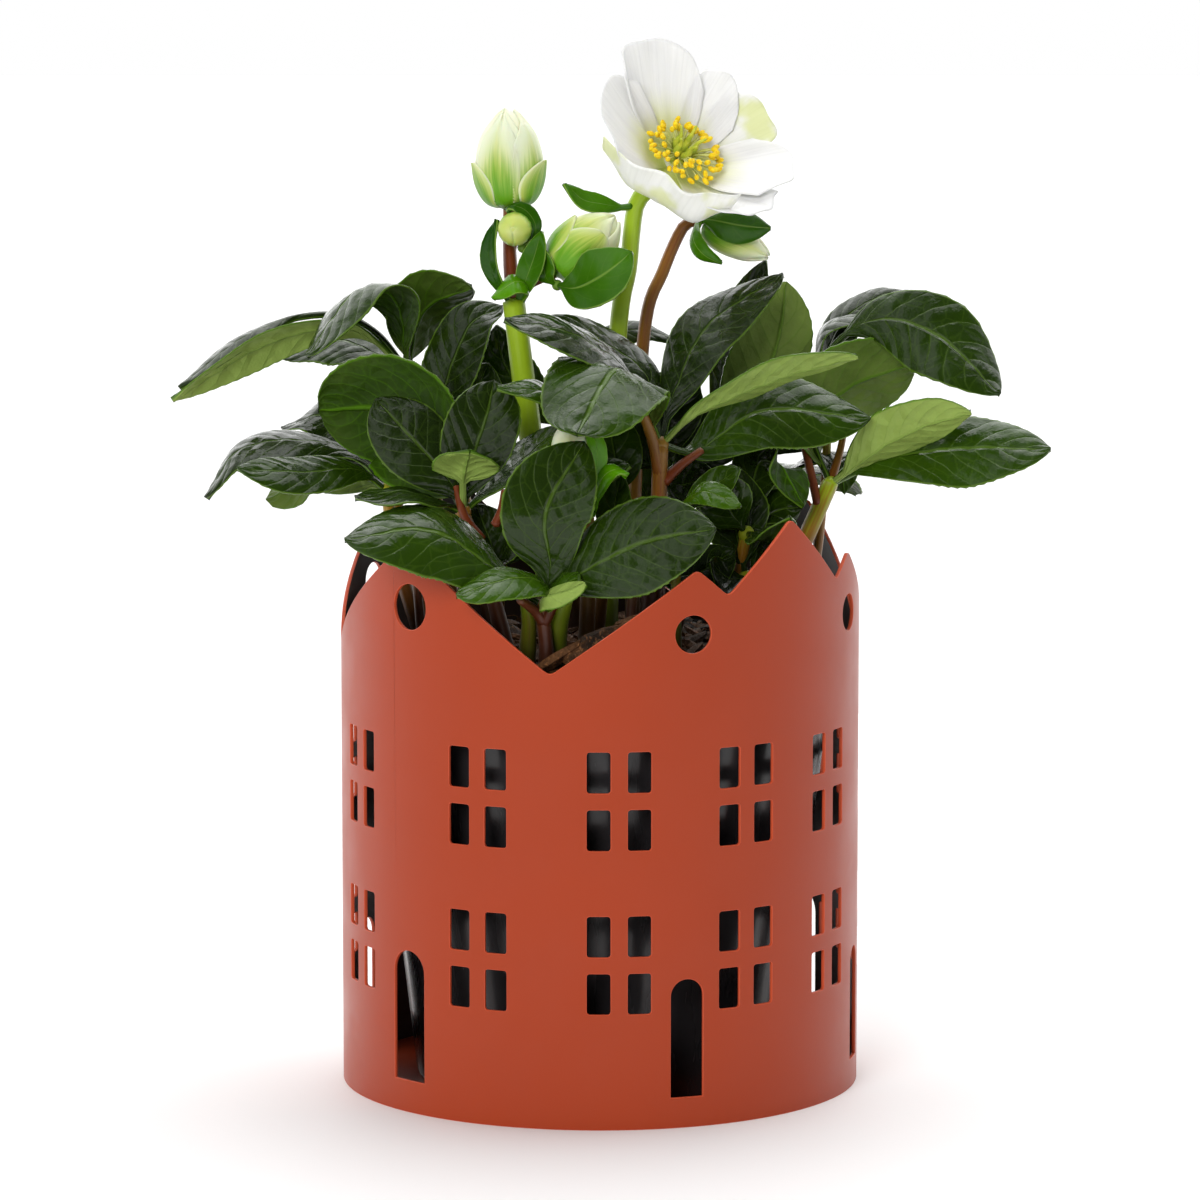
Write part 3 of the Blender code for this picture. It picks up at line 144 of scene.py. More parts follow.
# Divided leaves: foot, bends of the stalk, hub, diameters at foot and hub, tone of the stalk
# (0 is maroon, 1 is green), and leaflets of (midrib points, width, way that the face looks,
# cup, tone), where tone 0 is dark blue-green and tone 1 is light yellow-green.
# Each leaflet's tone was set to how light or dark it looks, so beside the leaf's own colour it carries
# painted light: higher where a leaflet is backlit or shows sheen, lower where it lies in shade.
LEAVES = {
    "leaf_upper_left": (
        (-40, 2), ((-55, 3, 156),), (-52, 5, 192), (4.4, 3.4), 0.5,
        (
            # Tone 0.95 lightens this underside: painted sheen.
            (((-67, 5, 204), (-90, 2, 200), (-115, -2, 185)), 14, (-0.25, 0.66, 0.71), -0.3, 0.95),
            (((-60, 6, 202), (-70, 6, 207), (-84, 5, 206), (-98, 3, 200), (-113, -1, 188)),
             9, (-0.2, -0.35, 0.92), -0.2, 0.1),
            (((-53, 1, 208), (-58, -4, 215), (-66, -9, 214), (-78, -15, 198)),
             24, (-0.3, 0.1, 0.95), -0.2, 0.3, 0.4),
            (((-50, 8, 203), (-46, 8, 210), (-34.5, 4, 215)), 21, (-0.35, 0.8, 0.45), 0.25, 0.4, 0.6),
            (((-70, 17, 199), (-88, 21, 195)), 18, (-0.1, -0.55, 0.83), -0.1, 0.3),
        ),
    ),
    "leaf_front_left": (
        (-22, -42), ((-29, -41, 140),), (-36, -38, 159), (4.6, 3.4), 0.1,
        (
            (((-40, -40, 168), (-49, -38, 178), (-59, -31, 188)), 20, (0.1, -0.9, 0.4), -0.1, 0.1, 0.5),
            # Tone 0.28 darkens this underside: painted shade.
            (((-46, -25, 176), (-55, -21, 184.5), (-75, -16, 184)),
             36, (-0.25, 0.62, 0.72), -0.15, 0.28, 0.75),
            (((-34, -39, 172), (-30, -37, 184), (-28, -32, 193)), 20, (-0.1, -0.95, 0.25), 0.1, 0.1, 0.5),
            (((-36, -40, 163), (-36, -41, 167), (-35.5, -42.5, 170.5), (-35, -44.5, 173.5),
              (-34, -47.5, 176)), 18, (0.0, 0.5, 0.87), -0.15, 0.9, 1.0),
            (((-50, -45, 165), (-64, -49, 164)), 20, (0.0, -0.12, 0.99), -0.1, 0.25),
            (((-25, -31, 168), (-17, -23, 174), (-10, -17, 180)), 17, (-0.3, -0.35, 0.85), 0.1, 0.45),
        ),
    ),
    "leaf_low_left": (
        (-44, -13), ((-54, -14, 142),), (-57, -14, 162), (4.2, 3.2), 0.3,
        (
            (((-67, -10, 172), (-83, -11, 175), (-97, -13, 172), (-105, -16, 160)),
             17, (-0.2, -0.38, 0.9), -0.2, 0.1),
            (((-67, 2, 177), (-76, 6, 180), (-86, 8, 176)), 20, (-0.2, -0.6, 0.75), -0.1, 0.1),
            (((-65, -20, 168), (-79, -25, 168), (-96, -29, 169.5)), 15, (0.0, -0.62, 0.78), -0.15, 0.35),
            (((-74, 0, 166), (-82, 3, 161), (-90, 4, 157)), 14, (-0.25, 0.85, -0.45), 0.1, 0.6, 1.0),
        ),
    ),
    "leaf_front": (
        (-14, -54), ((-14, -55, 124),), (-15, -55, 136), (4.8, 3.8), 0.0,
        (
            (((-26, -58, 145), (-44, -62, 157), (-66, -66, 155)), 26, (0.0, -0.6, 0.8), -0.3, 0.4),
            (((-13, -56, 147), (-14, -58, 162), (-4, -51, 179)), 24, (0.0, -1.0, 0.1), 0.1, 0.25),
            (((-7, -59, 144), (11, -63, 154), (30, -66, 158)), 26, (0.1, -0.85, 0.5), -0.15, 0.22),
            (((-14, -61, 142.5), (-23, -66, 145), (-37, -70, 141)), 13.5, (0.0, -0.5, 0.86), -0.2, 0.7, 0.6),
            (((-12, -60, 141), (-5, -62, 145)), 13, (0.1, -0.55, 0.83), -0.1, 0.6, 0.9),
            (((-14, -64, 139.5), (-9, -68, 141.5), (-3.5, -70, 144)), 8, (-0.1, 0.75, -0.6), 0.1, 1.0, 0.8),
        ),
    ),
    "leaf_centre": (
        (12, -26), ((15, -29, 150),), (16, -30, 176), (5.0, 4.2), 0.15,
        (
            (((11, -33, 187), (4, -43, 197), (-6, -62, 182)), 33, (0.35, 0.05, 0.93), -0.1, 0.4, 0.9),
            (((26, -32, 185), (48, -29, 194), (68, -25, 199)), 17, (-0.35, 0.5, 0.8), 0.15, 0.9),
            (((26, -25, 174), (44, -20, 184), (72, -14, 181)), 23, (-0.2, -0.85, 0.5), -0.15, 0.35),
            (((20, -21, 189), (29, -13, 206), (49, -6, 219)), 21, (-0.5, -0.7, 0.5), -0.1, 0.1),
            (((7, -28, 195), (-8, -36, 206), (-25, -42, 210)), 19, (-0.2, -0.5, 0.85), -0.15, 0.1),
            (((12, -18, 193), (-2, -17, 203), (-20, -21, 208)), 17, (0.2, -0.5, 0.85), -0.1, 0.2),
        ),
    ),
    "leaf_inner": (
        (-2, -18), ((1, -22, 140),), (3, -24, 160), (3.8, 3.0), 0.4,
        (
            (((4, -26, 171), (2, -23, 183)), 15, (0.0, -0.95, 0.3), 0.1, 0.35, 0.6),
            (((0, -31, 167), (8, -35, 171)), 9, (-0.2, -0.7, 0.7), 0.2, 0.5),
            (((-5, -29, 178), (-14, -36, 190), (-27, -41, 192)), 14, (0.0, -0.4, 0.9), -0.1, 0.5),
        ),
    ),
    "leaf_mid_left": (
        (-36, -4), ((-42, -5, 145),), (-45, -6, 170), (4.0, 3.0), 0.4,
        (
            (((-42, -9, 187), (-35, -5, 205), (-26, -2, 210)), 17, (-0.4, -0.85, 0.3), 0.1, 0.1, 0.5),
            (((-36, 2, 182), (-30, 8, 194)), 18, (0.3, -0.8, 0.5), 0.1, 0.3),
            (((-47, 18, 177), (-56, 34, 181)), 18, (-0.2, -0.3, 0.9), -0.1, 0.2),
        ),
    ),
    "leaf_right": (
        (38, -8), ((46, -7, 128), (55, -5, 147)), (62, 0, 162), (6.2, 4.6), 0.42,
        (
            (
                ((56, 6, 180), (62, 9, 197), (75, 6, 206), (91, 0, 202), (107, -8, 187)),
                24, (0.2, -0.75, 0.6), -0.15, 0.3,
            ),
            (((57, 6, 177), (68, 8, 188), (85, 9, 194)), 26, (-0.2, 0.9, 0.4), 0.1, 0.5, 0.8),
            (((74, -7, 172), (86, -12, 179), (99, -14, 183)), 20, (-0.3, 0.8, 0.5), 0.2, 1.0),
            (((77, -3, 169), (98, -3, 172), (121, -6, 172)), 24, (0.0, -0.7, 0.7), -0.1, 0.5),
            (((65, 15, 169), (67, 23, 157)), 11, (0.1, 0.7, 0.7), -0.1, 0.3),
        ),
    ),
    "leaf_low_right": (
        (30, -16), ((36, -18, 136),), (39, -20, 151), (4.2, 3.2), 0.3,
        (
            (((34, -25, 159), (30, -27, 168)), 15, (0.0, -0.95, 0.3), 0.1, 0.3),
            (((45, -34, 152), (50, -42, 158)), 13, (0.2, -0.6, 0.8), -0.1, 0.3),
            (((42, -12, 168), (48, -13, 168), (54, -20, 158)), 15, (0.4, -0.6, 0.6), -0.15, 0.1),
            (((47, -12, 156), (54, -11, 157)), 14, (0.1, -0.85, 0.5), -0.1, 0.2),
        ),
    ),
    "leaf_small_centre": (
        (20, -36), ((20, -35, 140),), (20, -33, 158), (3.2, 2.6), 0.7,
        (
            (((27, -39, 164.5), (37, -43, 161)), 8, (0.1, -0.75, 0.65), -0.1, 1.0),
            (((29, -30, 164), (37, -32, 170)), 9, (0.1, -0.8, 0.6), 0.1, 0.4),
        ),
    ),
    "leaf_back_centre": (
        (18, 8), ((25, 9, 142),), (30, 10, 166), (4.4, 3.2), 0.3,
        (
            (((42, 5, 186), (48, 6, 201), (50, 9, 216)), 23, (-0.2, 0.9, 0.3), 0.1, 0.6, 0.5),
            (((36, 16, 192), (40, 20, 208), (45, 20, 221)), 14, (-0.3, -0.8, 0.5), 0.1, 0.1),
            (((46, 20, 172), (60, 32, 168)), 22, (0.1, 0.4, 0.9), -0.15, 0.2),
            (((34, 26, 174), (44, 46, 172)), 20, (0.0, 0.3, 0.95), -0.15, 0.3),
        ),
    ),
    "leaf_back_upper": (
        (-6, 12), ((-8, 14, 148),), (-8, 16, 174), (4.2, 3.2), 0.3,
        (
            (((-19, 12, 184), (-26, 12, 194), (-28, 13, 204)), 15, (-0.3, -0.9, 0.2), 0.1, 0.3),
            (((-3, 17, 194), (4, 17, 200.5), (12, 19, 202), (22, 21, 198)),
             8.5, (0.05, -0.75, 0.66), -0.2, 0.2),
            (((-14, 30, 184), (-22, 50, 180)), 21, (-0.1, 0.3, 0.95), -0.15, 0.2),
            (((4, 32, 184), (12, 54, 180)), 21, (0.1, 0.3, 0.95), -0.15, 0.3),
        ),
    ),
    "leaf_back_left": (
        (-28, 26), ((-34, 30, 140),), (-38, 34, 158), (4.2, 3.2), 0.3,
        (
            (((-54, 34, 168), (-76, 36, 164)), 22, (-0.15, 0.1, 0.98), -0.15, 0.2),
            (((-50, 46, 166), (-68, 62, 154)), 23, (-0.2, 0.2, 0.95), -0.15, 0.3),
            (((-38, 54, 167), (-42, 78, 154)), 22, (0.0, 0.25, 0.95), -0.15, 0.2),
            (((-28, 48, 168), (-16, 70, 162)), 20, (0.1, 0.2, 0.97), -0.15, 0.4),
        ),
    ),
    "leaf_back": (
        (2, 34), ((4, 40, 138),), (5, 46, 152), (4.2, 3.2), 0.3,
        (
            (((-6, 62, 158), (-18, 82, 146)), 20, (-0.15, 0.3, 0.93), -0.15, 0.2),
            (((5, 68, 160), (6, 94, 146)), 23, (0.0, 0.3, 0.95), -0.15, 0.3),
            (((18, 62, 158), (32, 80, 146)), 20, (0.15, 0.3, 0.93), -0.15, 0.4),
        ),
    ),
    "leaf_back_right": (
        (30, 22), ((38, 26, 138),), (44, 32, 154), (4.2, 3.2), 0.3,
        (
            (((58, 30, 166), (80, 32, 166)), 22, (0.1, 0.1, 0.98), -0.15, 0.3),
            (((56, 46, 162), (72, 64, 152)), 23, (0.2, 0.2, 0.95), -0.15, 0.2),
            (((46, 52, 162), (52, 78, 150)), 21, (0.0, 0.25, 0.95), -0.15, 0.4),
        ),
    ),
}

# Leaves deep inside the plant, with the same values as above; the stalks rise from the soil
INNER_LEAVES = {
    "inner_leaf_right": (
        (34, -22), ((37, -21, 128),), (39, -20, 139), (3.4, 2.8), 0.3,
        (
            (((37, -19, 148), (35, -16, 158), (35, -14, 169)), 20, (0.15, -0.95, 0.2), 0.1, 0.1),
            (((45, -21, 145), (53, -21, 152)), 17, (0.0, -0.75, 0.6), -0.1, 0.05),
            (((34, -27, 140), (29, -33, 145)), 11, (0.2, -0.8, 0.5), -0.1, 0.1),
            (((44, -16, 136), (52, -12, 141)), 12, (0.0, -0.7, 0.7), -0.1, 0.1),
        ),
    ),
    "inner_leaf_middle": (
        (8, -38), ((8, -38, 128),), (9, -37, 142), (3.6, 2.8), 0.1,
        (
            (((7, -36, 150), (4, -33, 160), (6, -31, 168)), 11, (-0.2, -0.95, 0.2), 0.1, 0.35),
            (((14, -36, 148), (20, -35, 156)), 10, (0.1, -0.9, 0.4), 0.1, 0.2),
            (((15, -33, 142), (25, -27, 141), (36, -22, 147)), 15, (0.2, -0.8, 0.5), 0.1, 0.05),
        ),
    ),
    "inner_leaf_behind": (
        (16, -6), ((16, -6, 140),), (17, -6, 165), (3.4, 2.8), 0.2,
        (
            (((18, -6, 176), (20, -5, 186), (24, -4, 195)), 17, (0.0, -0.95, 0.2), 0.1, 0.1),
            (((9, -5, 172), (3, -4, 180), (2, -3, 190)), 19, (0.1, -0.95, 0.2), 0.1, 0.15),
            (((27, -4, 172), (33, -3, 178), (40, -3, 184)), 17, (0.0, -0.9, 0.3), 0.1, 0.15),
            (((22, -10, 163), (31, -12, 166)), 14, (0.0, -0.9, 0.4), 0.1, 0.1),
        ),
    ),
    "inner_leaf_left": (
        (-28, -28), ((-27, -30, 128),), (-26, -30, 142), (3.4, 2.8), 0.1,
        (
            (((-25, -33, 148), (-20, -38, 154)), 11, (0.1, -0.6, 0.8), -0.15, 0.05),
            (((-29, -30, 150), (-33, -28, 160)), 13, (0.0, -0.9, 0.4), 0.1, 0.1),
            (((-22, -27, 150), (-17, -26, 161)), 14, (0.2, -0.9, 0.3), 0.1, 0.4),
        ),
    ),
    "inner_leaf_far_left": (
        (-46, -20), ((-48, -20, 128),), (-49, -20, 140), (3.2, 2.6), 0.1,
        (
            (((-53, -22, 148), (-60, -26, 152)), 14, (-0.2, -0.5, 0.85), -0.15, 0.1),
            (((-46, -24, 149), (-42, -28, 157)), 13, (0.1, -0.8, 0.5), -0.1, 0.2),
        ),
    ),
    "inner_leaf_back": (
        (12, 14), ((13, 16, 135),), (14, 18, 152), (3.4, 2.8), 0.3,
        (
            (((10, 18, 162), (2, 18, 172)), 18, (0.0, -0.7, 0.7), -0.1, 0.2),
            (((20, 18, 162), (28, 20, 173)), 18, (0.1, -0.7, 0.7), -0.1, 0.1),
            (((15, 26, 160), (18, 36, 166)), 17, (0.0, 0.4, 0.9), -0.15, 0.2),
        ),
    ),
    "inner_leaf_edge": (
        (52, 12), ((58, 12, 135), (61, 13, 160)), (62, 14, 180), (3.0, 2.4), 0.4,
        (
            (((59, 14, 194), (61, 15, 203), (72, 15, 206.5), (84, 15, 205)),
             9, (-0.1, -0.15, 0.98), -0.2, 0.1),
            (((61, 18, 192), (66, 20, 204), (76, 21, 211), (84, 21, 212)),
             13, (-0.1, -0.45, 0.88), -0.2, 0.1),
        ),
    ),
}

# Forks of the stalks, below their leaflets: points, diameters, tones
FORKS = {
    "leaf_right": (
        (((58.7, -3, 156.8), (56, 0, 168.6), (54, 3, 177)), (2.6, 2.0), (0.05, 0.2)),
        (((61.5, 0, 160.5), (64.5, 3, 169.5), (66, 5, 176)), (2.6, 1.8), (0.2, 0.5)),
    ),
    "leaf_centre": (
        (((16.9, -30, 166), (21.7, -28, 170.5), (27, -25.5, 174)), (3.0, 2.0), (0.05, 0.1)),
        (((15.8, -30, 168), (14, -31.5, 177), (10.5, -35, 187)), (3.6, 2.4), (0.2, 0.5)),
    ),
    "leaf_front": (
        (((-14.6, -55.4, 132), (-17, -57, 135.5), (-20.8, -62, 139)), (3.2, 2.2), (0.0, 0.1)),
        (((-14.4, -55.4, 132), (-12.8, -57, 135.5), (-11, -59, 139)), (3.2, 2.2), (0.0, 0.1)),
    ),
    "leaf_front_left": (
        (((-27.5, -41.5, 156), (-25.8, -41, 160), (-25, -40, 165)), (2.6, 2.0), (0.0, 0.1)),
        (((-31, -40.5, 152), (-35.5, -40, 158), (-38, -39.5, 166)), (2.6, 2.0), (0.0, 0.1)),
    ),
}

# Stems: points from soil to top, diameters, and tones at foot and top (0 maroon, 1 lime)
STEMS = {
    "flower_stem": (
        ((2, -3), (2, -3, 150), (5, 0, 204), (7.6, 3, 220), (8.7, 3.4, 231), (10.4, 3, 238.5),
         (17.2, 1.1, 244.8)),
        (6.4, 6.0, 4.9, 4.6), (1.0, 0.9),
    ),
    "arched_stem": (
        ((9, 6), (9, 5, 150), (12, 4, 203), (17, 6, 219), (22.5, 7, 231), (26.5, 5, 232.5)),
        (4.2, 3.2), (0.45, 0.25),
    ),
    "cluster_stem": (
        ((-12, -12), (-15, -11, 150), (-19, -10, 180), (-23, -7, 212)), (6.8, 6.0), (0.25, 1.0, 1.15),
    ),
    "young_shoot_left": (
        ((-19.5, -49), (-19, -49, 123), (-18.6, -51, 131), (-19.5, -54, 138)), (4.2, 4.6, 3.0), (0.5, 0.8),
    ),
    "young_shoot_right": (
        ((-11, -49), (-11.5, -49, 123), (-11, -51, 131), (-9.5, -54, 138)), (4.2, 5.8, 5.0), (0.6, 0.9),
    ),
    "hidden_bud_stem": (((-4, -32), (-3, -35, 145), (-4, -38, 162), (-7, -40, 168)), (4.6, 3.6), (0.3, 0.6)),
}
CLUSTER_STALKS = (
    (((-23, -6.4, 212.9), (-24, -4, 222), (-24.5, 0.5, 237.5)), (4.2, 3.0)),
    (((-24, -4, 222), (-23.3, -2.6, 227), (-22.4, -2.9, 230.4)), (2.6, 2.2)),
    (((-22.6, -6, 214.6), (-17, -6.2, 217.5), (-11.6, -5.2, 219.4)), (3.0, 2.4)),
)

# Bracts of each group: knob or none, then points, width, facing, cup and tone
BRACTS = {
    "flower_stem": (
        None,
        (
            (((8.6, 2, 236.8), (5, 1, 236.6), (0, -1, 237.6), (-5, -3, 239), (-9.6, -5, 243.3)), 5.8,
             (0.1, -0.9, 0.35), 0.2, 0.45),
        ),
    ),
    "cluster_stem": (
        None,
        (
            (((-23, -7, 210), (-28.5, -9, 220), (-29.3, -9, 227), (-27.5, -8, 234)),
             5.0, (-0.5, -0.85, 0.1), 0.4, 0.2),
            (((-22.5, -7.5, 210), (-19.3, -10, 219), (-17.2, -10, 225), (-15.5, -9.5, 231)),
             7.0, (-0.3, -0.95, 0.0), 0.25, 0.4),
            (((-21.5, -7, 211), (-19.5, -10, 216), (-23, -12.5, 217.5), (-28.5, -12, 213)),
             7.5, (0.0, -0.6, 0.8), -0.2, 0.7),
        ),
    ),
    "small_bud_bract": (
        (-20.6, -6.5, 226.4),
        (
            (((-18.2, -7, 228.6), (-17.4, -7.5, 232.5), (-19.8, -7.5, 236.2), (-23, -7.5, 237.2),
              (-25, -7.5, 236)), 4.4, (0.25, -0.95, 0.1), 0.1, 0.25),
        ),
    ),
    "tilted_bud_bracts": (
        (-11.4, -7.6, 216.4),
        (
            (((-6, -14, 216.2), (1, -17.5, 220), (8.6, -17, 226)), 16.0, (-0.3, -0.85, 0.35), 0.15, 0.4),
            (((-14.5, -9, 219.5), (-15, -10, 226)), 6.5, (-0.4, -0.9, 0.1), 0.2, 0.45),
        ),
    ),
    "nodding_bud_bracts": (
        (27, 1, 233.4),
        (
            (((31, -5, 233.4), (37, -7.5, 232.4), (45.5, -7, 231.4)), 9.6, (0.05, -0.97, 0.25), -0.45, 0.35),
            (((25.2, -5, 229), (27.5, -8, 225), (32.6, -7.5, 222.5)), 5.0, (-0.4, -0.9, -0.2), -0.2, 0.45),
        ),
    ),
}
# The bract round the hidden bud, as above
SHEATH = (
    (((-2.2, -43, 158.5), (-1.4, -44, 168), (-0.8, -45, 176), (-3, -45, 181.5), (-7, -44, 183)),
     5.4, (0.35, -0.9, 0.1), 0.2, 1.0),
    (((-1.8, -43, 160), (0.6, -45, 168.5), (4, -46, 171), (7.2, -46, 169.5)),
     4.6, (0.0, -0.8, 0.6), -0.3, 0.9),
)

# Open flower: its base and the way it faces
FLOWER_BASE = (19.0, 0.0, 247.0)
FLOWER_AXIS = (0.385, -0.648, 0.655)
# Rim of each sepal as five places of (turn in degrees, reach, lift), its widest places where it
# bellies out, how far it lies inside its neighbours, and its green
SEPALS = (
    (((140, 22, 14), (156, 27, 17), (175, 29.5, 19), (195, 30.5, 18.5), (217, 25, 12)), None, 1.6, 0.0),
    (((152, 25, 16.5), (139, 30, 19.5), (117, 29.5, 19.5), (95, 27, 17.5), (77, 20, 12)), None, 1.2, 0.0),
    (((87, 22.5, 14), (77, 25.5, 16), (65, 26, 16.4), (52, 23, 14), (36, 17.5, 10.5)), None, 0.9, 0.0),
    (((62, 22, 14), (48, 26, 16), (34, 25.5, 16), (20, 25.5, 16), (6, 21, 12)), None, 0.0, 0.5),
    (((20, 20, 12), (6, 26.5, 16.5), (-8, 28.5, 18), (-24, 29, 19), (-42, 25, 15.5)), None, 0.8, 0.0),
    (((-28, 27, 16), (-44, 29.5, 17.5), (-55, 30.5, 17.5), (-68, 28.5, 17), (-82, 25, 15.5)), None, 0.2, 0.0),
    (
        ((-163, 26, 12.5), (-138, 24.5, 16), (-117, 23, 19), (-97, 25.5, 19), (-60, 23, 19)),
        ((-161, 23, 7), (-135, 21.5, 6), (-110, 22, 8.5), (-86, 26, 9.5), (-67, 24, 13.5)), -0.3, 0.45,
    ),
)
SEPAL_ROOT = 1.4
SEPAL_ROOT_HEIGHT = 1.6
RECEPTACLE_RADIUS = 3.0
RECEPTACLE_HEIGHT = 3.1

# Outline of a bud as (radius as a share of its diameter, share of its length)
BUD_PROFILE = (
    (0.10, 0.0), (0.33, 0.07), (0.47, 0.26), (0.48, 0.5), (0.39, 0.74), (0.2, 0.92), (0.05, 1.0),
)
# Buds: name, base, tip, diameter, tone, and sepals of (turn and half width in degrees, how far up,
# layer)
BUDS = (
    ("tall_bud", (-23.9, 0.3, 236.2), (-24.9, 2, 262.8), 19.2, 0.0, (
        (-120, 75, 1.0, 0.0), (0, 72, 0.985, 0.0), (120, 75, 0.97, 0.0), (-112, 46, 0.95, 0.8),
        (-40, 52, 0.86, 0.5), (-14, 60, 0.48, 1.9), (-172, 50, 0.48, 1.6),
    )),
    ("tilted_bud", (-11.9, -6, 219.4), (4.2, -3, 234), 17.0, 0.45, (
        (-120, 75, 1.0, 0.0), (0, 75, 0.99, 0.0), (120, 75, 0.98, 0.0), (-75, 62, 0.74, 0.7),
        (-170, 55, 0.66, 1.3),
    )),
    ("small_bud", (-22.4, -5, 231.2), (-23.2, -14, 231.8), 9.4, 0.85, (
        (90, 180, 1.0, 0.0),
    )),
    ("nodding_bud", (27.8, 3, 231.4), (45, -3, 223.8), 9.6, 0.35, (
        (-120, 75, 1.0, 0.0), (0, 75, 1.0, 0.3), (120, 75, 1.0, 0.6),
    )),
    ("hidden_bud", (-7, -41.5, 169.5), (-7, -42.5, 184), 12.0, 0.1, (
        (-100, 75, 1.0, 0.0), (20, 75, 1.0, 0.3), (140, 75, 1.0, 0.6),
    )),
)

# Camera at the photograph's angle: its place in metres, its dip in degrees and its lens in millimetres
CAMERA_PLACE = (0.0, -1.5537, 0.3419)
CAMERA_DIP = 7.748
CAMERA_LENS = 173.99


class SleeveLook(bpy.types.PropertyGroup):
    """Sizes and colours of the sleeve and the pot."""
    radius: FloatProperty(name="Radius", description="Outer radius of the sleeve",
                          default=0.070, unit="LENGTH")
    sheet: FloatProperty(name="Sheet", description="Thickness of the sheet", default=0.001, unit="LENGTH")
    corner: FloatProperty(name="Pane corner", description="Radius of a window pane's corners",
                          default=0.0008, unit="LENGTH")
    edge: FloatProperty(name="Edge", description="Rounding of the cut edges", default=0.00016, unit="LENGTH")
    coat: FloatVectorProperty(name="Coat", description="Colour of the powder coat outside",
                              default=(0.37, 0.043, 0.009), subtype="COLOR")
    inside: FloatVectorProperty(name="Inside", description="Colour of the sheet's inner face",
                                default=(0.030, 0.018, 0.015), subtype="COLOR")
    pot: FloatVectorProperty(name="Pot", description="Colour of the nursery pot",
                             default=(0.018, 0.016, 0.017), subtype="COLOR")


class PlantLook(bpy.types.PropertyGroup):
    """Colours and fineness of the plant."""
    row_length: FloatProperty(name="Row length", description="Length of a leaf's mesh rows",
                              default=0.0009, unit="LENGTH")
    blade: FloatProperty(name="Blade", description="Thickness of a leaf blade", default=0.0006, unit="LENGTH")
    pucker: FloatProperty(name="Pucker", description="Height of the swelling between a leaf's veins",
                          default=0.0006, unit="LENGTH")
    vein_pairs: IntProperty(name="Vein pairs", description="Side veins on each side of the midrib", default=8)
    stamens: IntProperty(name="Stamens", description="Stamens in the open flower", default=72)
    leaf_dark: FloatVectorProperty(name="Dark leaf", description="Upper face of an old leaf",
                                   default=(0.008, 0.017, 0.0015), subtype="COLOR")
    leaf_light: FloatVectorProperty(name="Light leaf", description="Upper face of a young leaf",
                                    default=(0.037, 0.097, 0.001), subtype="COLOR")
    vein: FloatVectorProperty(name="Vein", description="Veins and margin of a leaf",
                              default=(0.11, 0.20, 0.018), subtype="COLOR")
    underside: FloatVectorProperty(name="Underside", description="Lower face of a leaf",
                                   default=(0.040, 0.104, 0.001), subtype="COLOR")
    maroon: FloatVectorProperty(name="Maroon", description="Red of stalks and stems",
                                default=(0.15, 0.028, 0.006), subtype="COLOR")
    lime: FloatVectorProperty(name="Lime", description="Green of fresh stems",
                              default=(0.31, 0.46, 0.014), subtype="COLOR")
    cream: FloatVectorProperty(name="Cream", description="Pale part of the buds",
                               default=(0.80, 0.81, 0.58), subtype="COLOR")
    bud_green: FloatVectorProperty(name="Bud green", description="Green part of the buds",
                                   default=(0.12, 0.33, 0.004), subtype="COLOR")
    petal: FloatVectorProperty(name="Petal", description="White of the open flower",
                               default=(0.87, 0.87, 0.86), subtype="COLOR")
    pollen: FloatVectorProperty(name="Pollen", description="Yellow of the anthers",
                                default=(0.98, 0.77, 0.02), subtype="COLOR")


class StageLook(bpy.types.PropertyGroup):
    """Light of the studio."""
    sky: FloatProperty(name="Sky", description="Strength of the light from behind", default=1.05)
    sky_front: FloatProperty(name="Front sky", description="Strength of the light from in front",
                             default=0.13)
    shine: FloatProperty(name="Shine", description="Strength of the back light in reflections", default=2.1)
    shine_front: FloatProperty(name="Front shine", description="Strength of the front light in reflections",
                               default=0.06)
    shine_box: FloatProperty(name="Soft box", description="Strength of the left soft box in reflections",
                             default=1.1)
    above: FloatProperty(name="Light above", description="Strength of the soft light overhead", default=1.55)
    front: FloatProperty(name="Front light", description="Strength of the soft light at the front left",
                         default=1.9)


# Small helpers

def deselect():
    bpy.ops.object.select_all(action="DESELECT")


def activate(piece):
    deselect()
    piece.select_set(True)
    bpy.context.view_layer.objects.active = piece


def face_outwards(piece):
    """Turns every face of a piece outwards."""
    activate(piece)
    bpy.ops.object.mode_set(mode="EDIT")
    bpy.ops.mesh.select_all(action="SELECT")
    bpy.ops.mesh.normals_make_consistent(inside=False)
    bpy.ops.object.mode_set(mode="OBJECT")


def add_bevel(piece, width):
    edge = piece.modifiers.new("Edge", "BEVEL")
    edge.width = width
    edge.segments = 2
    edge.limit_method = "ANGLE"
    return edge


def add_cut(piece, cutter):
    cut = piece.modifiers.new("Cut", "BOOLEAN")
    cut.operation = "DIFFERENCE"
    cut.object = cutter
    cut.solver = "EXACT"


def apply_all(piece):
    """Applies every modifier of a piece in turn."""
    activate(piece)
    for modifier in list(piece.modifiers):
        bpy.ops.object.modifier_apply(modifier=modifier.name)


def shade_by_angle(piece, degrees):
    activate(piece)
    bpy.ops.object.shade_smooth_by_angle(angle=math.radians(degrees))


def finish_piece(piece, name, slot, *nodes):
    """Names a finished piece and hands it to the frame in place of its CAD nodes."""
    piece.name = name
    piece.data.name = name
    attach(piece, "root")
    if nodes:
        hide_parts(*nodes)


def unit(vector):
    vector = np.asarray(vector, float)
    return vector / np.linalg.norm(vector)


def unit_each(vectors):
    """The vectors of a grid, each with length one."""
    return vectors / np.maximum(np.linalg.norm(vectors, axis=2), 1e-9)[:, :, None]


def grid_normals(grid):
    return unit_each(np.cross(np.gradient(grid, axis=0), np.gradient(grid, axis=1)))


def turns_round(count, start=0.0):
    """The turns of evenly spaced places on a circle, in radians."""
    return [2 * math.pi * (k + start) / count for k in range(count)]


def level_place(away, turn):
    return away * math.cos(turn), away * math.sin(turn)


def spoke(right, upward, turn):
    """The way outwards at a turn, between two ways that stand square to an axis."""
    return right * math.cos(turn) + upward * math.sin(turn)


